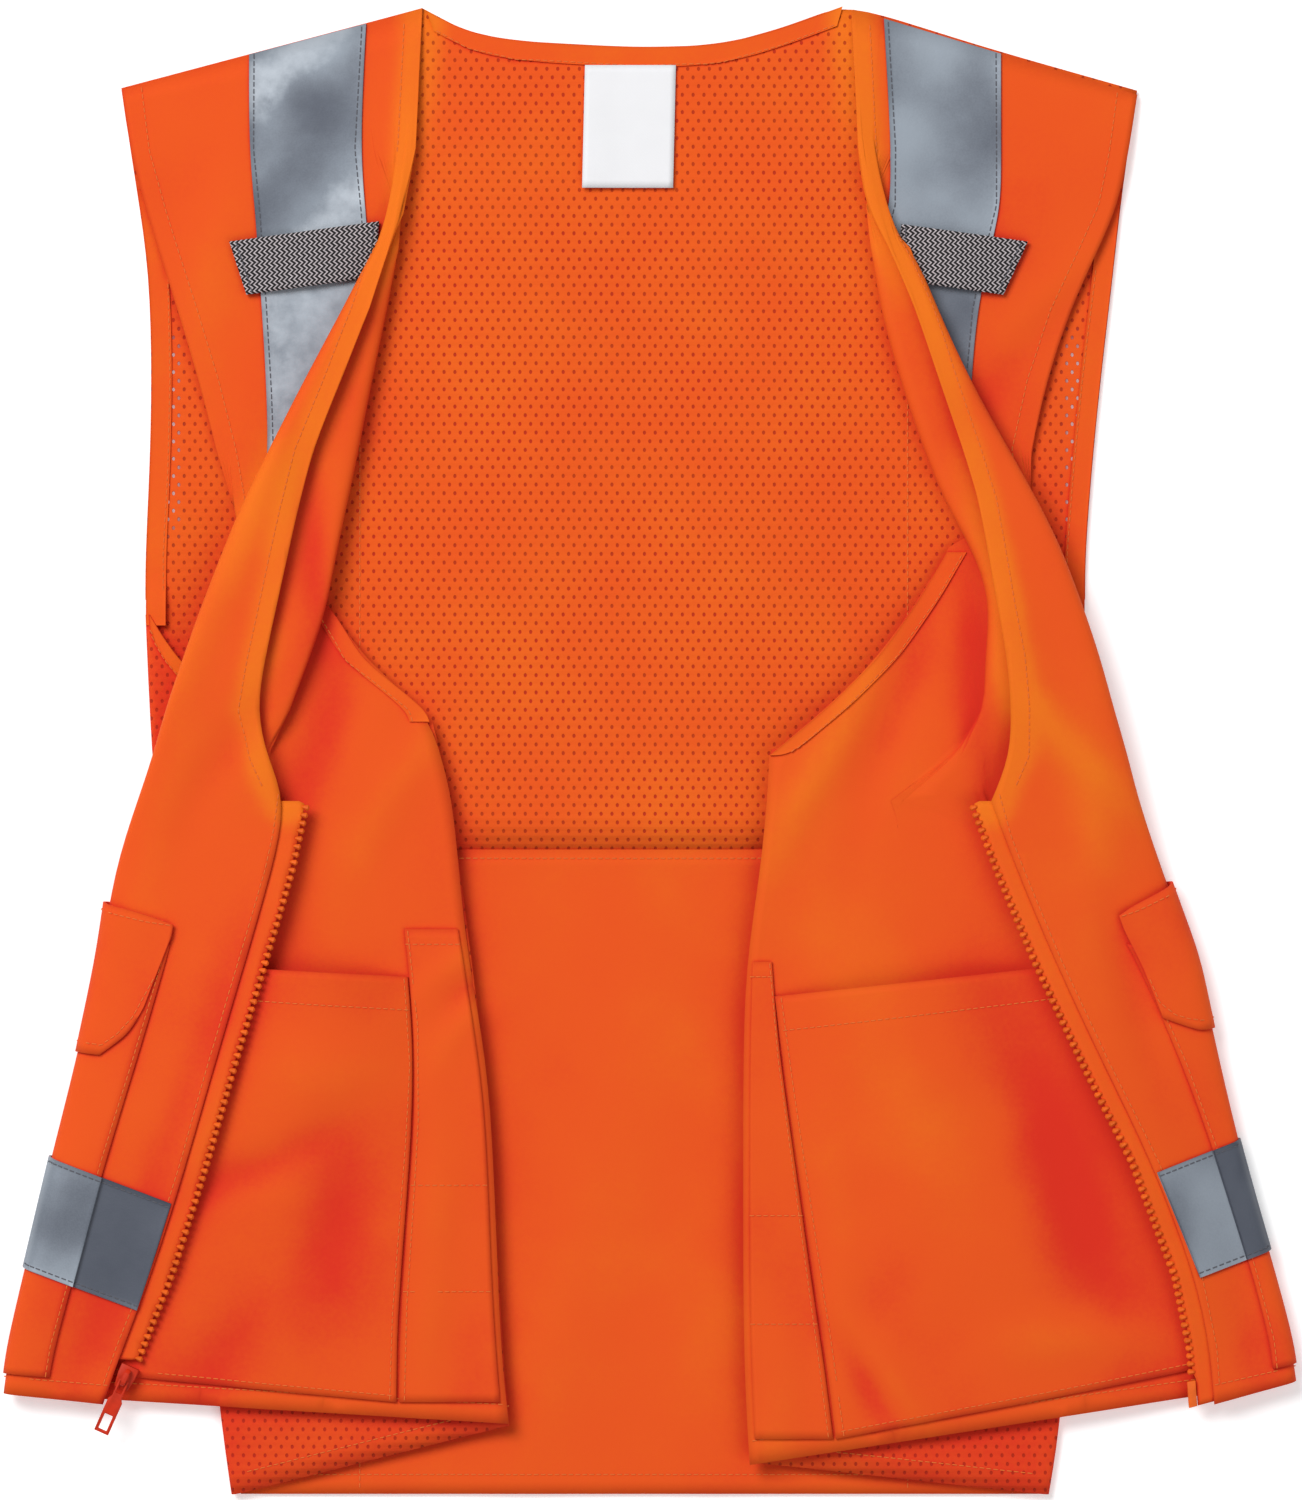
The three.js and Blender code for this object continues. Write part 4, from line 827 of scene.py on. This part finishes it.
# Stitching: the piece that each line is sewn on, and points close over its face, in mm
SEAMS = [
    ("front_panel_left", [(-69, -302, 13), (-100, -300.3, 13), (-130.9, -298.6, 13), (-161.9, -296.8, 12.7),
        (-192.8, -295.1, 12.2), (-223.7, -293.4, 10.5), (-254.6, -291.7, 8.4), (-285.4, -290, 6.3)]),
    ("front_panel_left", [(-297.1, -289.2, 11.6), (-281.9, -290.6, 15), (-266.4, -291.9, 15.2),
        (-251, -293.1, 15.4)]),
    ("front_panel_left", [(-113.6, 333.6, 4.9), (-116.3, 277.1, 8.6), (-116.5, 247, 7.5),
        (-127.8, 231.5, 14.1), (-137.5, 203.2, 21), (-150.3, 170, 22.7), (-163.3, 138, 22.7),
        (-170.3, 110.1, 23.6), (-175.4, 87.1, 25.4), (-180.3, 64, 26.5), (-185.3, 41, 26.5),
        (-189.3, 18, 25.6), (-184.3, -4.1, 24.5), (-178.9, -16, 23.8)]),
    ("front_panel_left", [(-171, -22, 23.9), (-173.6, -40, 23.7), (-177.1, -56, 23.7),
        (-189.1, -96.9, 24.5), (-203.1, -144, 24.5), (-216.1, -190, 23.5), (-232.1, -241, 19.7),
        (-246, -276, 16.4), (-251.4, -291.4, 15.5)]),
    ("front_panel_left", [(-234.6, 304.3, 4.7), (-231, 276.1, 6.7), (-223, 247, 7.1), (-218, 231, 7.1),
        (-209, 203, 7.2), (-199, 170, 7.2), (-191, 138, 7.5), (-187, 115.7, 8.7)]),
    ("armhole_binding_front_left", [(-161.4, 71.1, 10.1), (-154.2, 64.2, 11.2), (-147.2, 52.7, 11.7),
        (-140.2, 41.1, 12.2), (-125.7, 29.6, 12.7), (-111.2, 18.1, 13.1), (-109.8, 13.7, 13.3)]),
    ("inner_pocket_left", [(-113.2, -106.9, 14.8), (-110.6, -145.2, 14.7), (-112.7, -183.6, 14.6),
        (-115.7, -222, 14.5), (-118.6, -260.4, 14.4), (-119.9, -298.8, 14.2)]),
    ("inner_pocket_left", [(-112.3, -120.2, 14.7), (-123.5, -119.5, 17.8), (-134.7, -118.8, 20.3),
        (-145.8, -118.2, 22), (-157, -117.5, 22.6), (-168.1, -116.8, 21.8), (-179.1, -116.1, 20),
        (-190, -115.5, 17.2), (-200.9, -114.8, 14)]),
    ("inner_pocket_left", [(-120, -297.8, 14.2), (-153.4, -294.7, 14.3), (-186.5, -291.6, 13.8),
        (-219.2, -288.5, 12.3), (-251.3, -285.4, 9.8)]),
    ("pen_pocket_left", [(-88.7, -90, 14), (-100.1, -90, 14), (-111.5, -90, 14)]),
    ("pen_pocket_left", [(-76.1, -201, 14), (-92.6, -201, 14), (-109, -201, 14)]),
    ("pen_pocket_left", [(-74.5, -250, 14), (-93.5, -250, 14), (-112.5, -250, 14)]),
    ("pen_pocket_left", [(-111.5, -85, 14), (-107, -127.8, 14), (-106.7, -170.6, 14), (-109.2, -213.4, 14),
        (-112, -256.2, 14), (-113.1, -299, 14)]),
    ("outer_pocket_left", [(-223.5, -92.8, 20.2), (-224.4, -96.9, 20.1), (-238.3, -143.9, 19.6),
        (-252.7, -189.9, 18.9), (-266.6, -241, 17.6), (-276.1, -274.8, 16.5), (-278.3, -288.2, 16.3)]),
    ("pocket_flap_left", [(-231.7, -74.9, 5.5), (-247, -74.2, 2.4), (-253.5, -73.6, 10.3),
        (-247.5, -75.8, 18.1), (-239.3, -77.8, 19.5), (-231.5, -79.6, 20.6), (-221.8, -81, 21.9)]),
    ("pocket_flap_left", [(-243.1, -135.2, 3.2), (-258.3, -135, 1.4), (-264.9, -134.3, 9.3),
        (-258.9, -135.4, 17.1), (-252.6, -136.2, 18.5), (-245.6, -131.5, 19.6), (-237.9, -123.1, 20.6),
        (-228.9, -106.7, 21.4)]),
    ("waist_tape_pocket_left", [(-237.6, -192.1, 4.6), (-257.3, -191.1, 2.4), (-269.5, -190.4, 1.1),
        (-276.8, -189.5, 4.1), (-277, -190.3, 14.5), (-270.8, -192.6, 17.7), (-254.4, -198.8, 20.4)]),
    ("waist_tape_front_left", [(-251.2, -199.9, 19.2), (-236.8, -205.3, 21.3), (-222.3, -210.7, 23.2)]),
    ("waist_tape_pocket_left", [(-248.4, -239, 3.8), (-268.3, -238, 2.1), (-280.5, -237.4, 1.1),
        (-287.8, -236.4, 4.1), (-288, -237.3, 14.5), (-281.7, -239.5, 17.7), (-266.9, -245.1, 19.1)]),
    ("waist_tape_front_left", [(-263.8, -246.2, 17.8), (-250.4, -251.2, 18.7), (-237, -256.2, 19.5)]),
    ("shoulder_tape_left", [(-182.7, 319.6, 5.8), (-182.8, 276.6, 8.2), (-179.8, 247, 8.7),
        (-178.8, 231, 8.7), (-176.8, 203, 8.7), (-174.8, 170, 8.7), (-173.8, 138.1, 8.9),
        (-175.3, 124.1, 9.6)]),
    ("shoulder_tape_left", [(-133.1, 332.3, 5.8), (-136.2, 276.9, 8.2), (-133.2, 247, 8.7),
        (-132.2, 231, 8.7), (-134.3, 203, 8.7), (-142.3, 170, 8.7), (-148.3, 138.1, 9.1),
        (-155.8, 124.1, 9.8)]),
    ("mic_tab_left", [(-190.4, 232.3, 10.3), (-187.1, 222.1, 10.3), (-183.8, 211.8, 10.3)]),
    ("mic_tab_left", [(-127.1, 240.9, 10.3), (-128.5, 230.1, 10.4), (-129.6, 219.3, 10.4)]),
    ("side_mesh_left", [(-184.8, -333.2, 6.9), (-172.1, -330, 7), (-154.4, -325.5, 7.2),
        (-129.2, -319.1, 7.5), (-101.3, -312, 7.8), (-78.6, -306.3, 8.1), (-65.9, -303, 11.4)]),
    ("armhole_binding_side_left", [(-230.8, 53.7, 8), (-222.9, 40.4, 8.1), (-209.8, 24.6, 8.2),
        (-191.5, 12.1, 8.4), (-165.4, 5.3, 8.7), (-136.6, 3.8, 9)]),
    ("armhole_binding_back_left", [(-222.7, 220, 4.1), (-221.7, 170, 4.1), (-222.7, 129, 4.1),
        (-224.7, 90, 4.1), (-224.7, 71, 4.1)]),
    ("front_panel_right", [(48.3, -318.7, 13), (82.2, -314.1, 13), (116.1, -309.4, 12.9),
        (150, -304.7, 12.5), (183.9, -300.1, 12.1), (217.8, -295.4, 10.5), (251.6, -290.8, 8.4),
        (285.4, -286.1, 6.3)]),
    ("front_panel_right", [(297.1, -284.5, 11.6), (285.4, -287.3, 15), (273.4, -290, 15.2),
        (261.4, -292.7, 15.5)]),
    ("front_panel_right", [(101.6, 332.9, 4.9), (104.3, 277.1, 8.5), (101.5, 251, 7.5),
        (118.5, 231.3, 17.5), (130.7, 203.3, 20.1), (141.4, 170.1, 22.6), (152.3, 138, 22.8),
        (159.3, 115.1, 23.6), (163.3, 93.1, 25.4), (167.3, 69, 26.5), (172.3, 43, 26.6), (174.3, 20, 25.6),
        (174.3, -3.1, 24.5), (168.9, -15.6, 23.8)]),
    ("front_panel_right", [(161, -21.9, 23.9), (166.1, -40, 23.7), (172.1, -55.9, 23.6),
        (189.1, -96.9, 24.5), (211.1, -143.9, 24.4), (234.2, -189.9, 23.2), (254.1, -241.7, 19.5),
        (261.1, -275.7, 16.3), (262.2, -291, 15.5)]),
    ("front_panel_right", [(215.6, 301.9, 4.7), (212, 276.1, 6.7), (207, 251, 7.1), (198, 231, 7.1),
        (185, 203, 7.2), (174, 170, 7.2), (167, 138, 7.5), (169.4, 119.7, 8.8)]),
    ("armhole_binding_front_right", [(143.4, 88.4, 8.4), (139.2, 81.2, 9.4), (132.2, 69.2, 11.2),
        (114.2, 43.1, 12.2), (91.2, 20.1, 13.1), (66, -0.7, 14)]),
    ("inner_pocket_right", [(60.6, -115.7, 14.8), (66, -155.6, 14.7), (72, -195.5, 14.6),
        (77.8, -235.5, 14.5), (83.8, -275.4, 14.4), (89.2, -315.3, 14.2)]),
    ("inner_pocket_right", [(62.4, -129.6, 14.7), (79.8, -127.6, 17.8), (97, -125.6, 20.3),
        (114.1, -123.6, 22), (131, -121.6, 22.4), (147.7, -119.6, 21.6), (164.2, -117.7, 19.8),
        (180.5, -115.7, 17), (196.7, -113.7, 13.8)]),
    ("inner_pocket_right", [(89.1, -314.2, 14.2), (133.6, -305.9, 14.1), (177.6, -297.6, 13.7),
        (220.3, -289.3, 11.8), (262.3, -280.9, 8.9)]),
    ("pen_pocket_right", [(47.2, -105, 14), (51.3, -105, 14), (55.3, -105, 14)]),
    ("pen_pocket_right", [(47, -215, 14), (58.1, -215, 14), (69.2, -215, 14)]),
    ("pen_pocket_right", [(47.4, -265, 14), (61.7, -265, 14), (76, -265, 14)]),
    ("pen_pocket_right", [(55.3, -100, 14), (59.1, -143.2, 14), (64.9, -186.4, 14), (70.6, -229.6, 14),
        (76.6, -272.8, 14), (82.1, -316, 14)]),
    ("outer_pocket_right", [(223.1, -92.8, 19.9), (225.6, -96.9, 19.7), (246.7, -143.9, 18.1),
        (263.3, -189.9, 17.1), (278.8, -239, 16.5), (287.5, -272.3, 16.2), (288.8, -284.1, 16.1)]),
    ("pocket_flap_right", [(221.4, -65.9, 4.3), (236.7, -64.9, 2.7), (243.1, -64.1, 10.7),
        (238.1, -68, 18.4), (230.8, -71.5, 19.7), (223.9, -74.7, 20.8), (218.2, -76.6, 21.7)]),
    ("pocket_flap_right", [(238.7, -124.1, 2.7), (253.9, -124, 1.4), (260.6, -123.4, 9.4),
        (254.8, -124.9, 17.2), (248.1, -124.1, 18.7), (241.7, -122.2, 19.8), (234.6, -116.7, 20.8),
        (230.5, -107, 21.1)]),
    ("waist_tape_pocket_right", [(232.4, -184.1, 4.2), (252.3, -183.1, 2.3), (264.5, -182.4, 1.1),
        (271.8, -181.5, 4.1), (272.1, -182.3, 14.4), (266.2, -184.5, 17.7), (261.5, -186.3, 19)]),
    ("waist_tape_front_right", [(258.3, -187.5, 18.2), (247.1, -191.8, 21.3), (235.9, -196.1, 24.1)]),
    ("waist_tape_pocket_right", [(245.3, -231, 3.6), (265.4, -230, 2), (277.7, -229.4, 1.1),
        (285, -228.3, 4.1), (285.3, -229.2, 14.5), (279.2, -231.4, 17.7), (276.1, -232.6, 18.3)]),
    ("waist_tape_front_right", [(272.8, -233.8, 17.3), (263.5, -237.3, 19), (254, -240.9, 20.7)]),
    ("shoulder_tape_right", [(159.7, 320, 5.8), (159.8, 276.6, 8.2), (159.8, 251, 8.7), (154.8, 231, 8.7),
        (148.8, 203, 8.7), (145.8, 170, 8.7), (145.8, 138.1, 9), (151.3, 126.7, 9.7)]),
    ("shoulder_tape_right", [(110.1, 334.5, 5.8), (113.4, 277, 8.3), (113.2, 251, 8.7), (108.3, 231, 8.7),
        (108.5, 203.4, 9.3), (117.6, 170.6, 10.4), (129.4, 138.4, 12.2), (134.3, 127.2, 11.2)]),
    ("mic_tab_right", [(170.6, 232.3, 10.3), (165.9, 222.1, 10.3), (161.1, 211.8, 10.3)]),
    ("mic_tab_right", [(117.9, 239.6, 10.3), (117.4, 228.9, 10.5), (116.4, 218.1, 10.4)]),
    ("side_mesh_right", [(175.3, -334.2, 6.9), (161.6, -332.7, 7), (142.4, -330.5, 7.2), (115, -327.5, 7.5),
        (84.8, -324.2, 7.8), (60, -321.5, 8.1), (46.3, -320, 11.4)]),
    ("armhole_binding_side_right", [(199, 53.7, 8), (190.4, 37.2, 8.1), (176.1, 17.6, 8.2),
        (156.1, 2.1, 8.4), (127.5, -6.4, 8.7), (96, -8.2, 9)]),
    ("armhole_binding_back_right", [(205.7, 220, 4.1), (199.7, 170, 4.1), (195.7, 129, 4.1),
        (192.7, 90, 4.1), (192.7, 71, 4.1)]),
    ("neck_binding", [(-97.5, 331.1, 4.1), (-83.8, 323.7, 4.1), (-62.4, 318.7, 4.1), (-34.1, 317.2, 4.1),
        (-6.8, 315.7, 4.1), (11.7, 316.2, 4.1), (31.2, 316.7, 4.1), (59.5, 324.7, 4.1),
        (83.9, 333.9, 4.1)]),
    ("back_lower", [(-187.3, -335, 2.7), (-100, -335, 2.7), (0, -335, 2.7), (90, -335, 2.7),
        (178.5, -335, 2.7)]),
    ("back_lower", [(-218.6, -50.5, 2.7), (-10, -50.5, 2.7), (192.1, -50.5, 2.7)]),
]
for x, top in ((-181, 317.6), (-134, 330.2), (119, 331.2), (166, 316.7)):  # tapes down the back
    SEAMS += [("back_mesh", [(x, top, 2.7), (x, 140, 2.7), (x, -44, 2.7)]),
              ("back_lower", [(x, -53, 2.7), (x, -200, 2.7), (x, -340, 2.7)])]


class VEST_OT_stitches(PieceOperator, bpy.types.Operator):
    """Rows of stitches on the seams, hems, tapes and tabs"""
    bl_idname = "vest.stitches"
    bl_label = "Stitching"

    def make(self, settings):
        sizes = settings.sizes
        stitch = pattern_box((sizes.stitch, sizes.thread, sizes.thread * 0.8), 1.0, 0.35)
        trees, rows = {}, {"thread": [], "tape_thread": []}
        for node, points in SEAMS:
            piece = bpy.data.objects[node + "_cloth"]
            if node not in trees:
                trees[node] = BVHTree.FromObject(piece, bpy.context.evaluated_depsgraph_get())
            grey = "tape" in node or "tab" in node
            spots = even(drape(np.array(points, float) * MM), sizes.stitch_pitch)
            for way, spot in zip(np.gradient(spots, axis=0), spots):
                place, normal, _, far = trees[node].find_nearest(Vector(spot))
                if place is not None and far <= SEAM_REACH:
                    rows["tape_thread" if grey else "thread"].append(
                        axes(way, np.array(normal), np.array(place + normal * sizes.thread * 0.15)))
        copies("stitches_on_cloth", stitch, rows["thread"], "thread")
        copies("stitches_on_tape", stitch, rows["tape_thread"], "tape_thread")


FLOOR_SIZE, FLOOR_HEIGHT, FLOOR_CLOUD = 12, -0.2 * MM, 0.4
VIEW_CENTRE, SENSOR = (0.5 * MM, -0.5 * MM), 36


class VEST_OT_stage(PieceOperator, bpy.types.Operator):
    """Plain pale floor, soft lights and the camera straight above"""
    bl_idname = "vest.stage"
    bl_label = "Stage"

    def make(self, settings):
        stage, scene = settings.stage, bpy.context.scene
        bpy.ops.object.select_all(action="DESELECT")
        bpy.ops.mesh.primitive_plane_add(size=FLOOR_SIZE, location=(0, 0, FLOOR_HEIGHT))
        floor = bpy.context.object
        floor.name = "floor"
        finish = Finish("pale_floor", roughness=0.9, specular_ior_level=0.1, emission_strength=0.3)
        tone = tuple(settings.colours.floor)
        cloud = finish.noise(finish.place(), FLOOR_CLOUD, 2)
        finish.set(base_color=finish.mix(cloud, tuple(0.98 * c for c in tone), tone))
        floor.data.materials.append(finish.material)
        for name, power, size, spot in (("key_light", stage.key, 2.4, (-1.9, 2.1, 3.8)),
                                        ("fill_light", stage.fill, 3.0, (2.0, -1.8, 3.2))):
            bpy.ops.object.light_add(type="AREA", location=spot)
            light = bpy.context.object
            light.name = name
            light.data.energy, light.data.size = power, size
            light.rotation_euler = Vector(spot).to_track_quat("Z", "Y").to_euler()
        scene.world = bpy.data.worlds.new("surroundings")
        scene.world.use_nodes = True
        sky = scene.world.node_tree.nodes["Background"].inputs
        sky["Color"].default_value, sky["Strength"].default_value = (1, 1, 1, 1), stage.sky
        bpy.ops.object.camera_add(location=(*VIEW_CENTRE, stage.camera_height), rotation=(0, 0, 0))
        camera = bpy.context.object
        camera.data.sensor_fit = "VERTICAL"
        camera.data.sensor_height = SENSOR
        camera.data.lens = SENSOR * stage.camera_height / stage.view_height
        camera.data.clip_end = 50
        scene.camera = camera
        scene.view_settings.view_transform = "Standard"


MAKERS = (VEST_OT_panels, VEST_OT_mesh, VEST_OT_pockets, VEST_OT_bindings, VEST_OT_tapes, VEST_OT_tabs,
          VEST_OT_label, VEST_OT_zip, VEST_OT_stitches, VEST_OT_stage)


class VEST_PT_sidebar(bpy.types.Panel):
    """Lists the settings and the operators"""
    bl_idname = "VEST_PT_sidebar"
    bl_label = "Safety Vest"
    bl_space_type = "VIEW_3D"
    bl_region_type = "UI"
    bl_category = "Vest"

    def draw(self, context):
        settings = context.scene.vest
        for group in (settings.colours, settings.sizes, settings.stage):
            box = self.layout.box()
            for name in group.__annotations__:
                box.prop(group, name)
        for maker in MAKERS:
            self.layout.operator(maker.bl_idname)


class VestSettings(bpy.types.PropertyGroup):
    """All settings of the vest"""
    colours: PointerProperty(type=VestColours)
    sizes: PointerProperty(type=VestSizes)
    stage: PointerProperty(type=VestStage)


CLASSES = (VestColours, VestSizes, VestStage, VestSettings, *MAKERS, VEST_PT_sidebar)


def register():
    for item in CLASSES:
        bpy.utils.register_class(item)
    bpy.types.Scene.vest = PointerProperty(type=VestSettings)


def unregister():
    del bpy.types.Scene.vest
    for item in reversed(CLASSES):
        bpy.utils.unregister_class(item)


def main():
    register()
    for maker in MAKERS:
        getattr(bpy.ops.vest, maker.bl_idname.removeprefix("vest."))()
    bpy.context.view_layer.update()


if __name__ == "__main__":
    main()
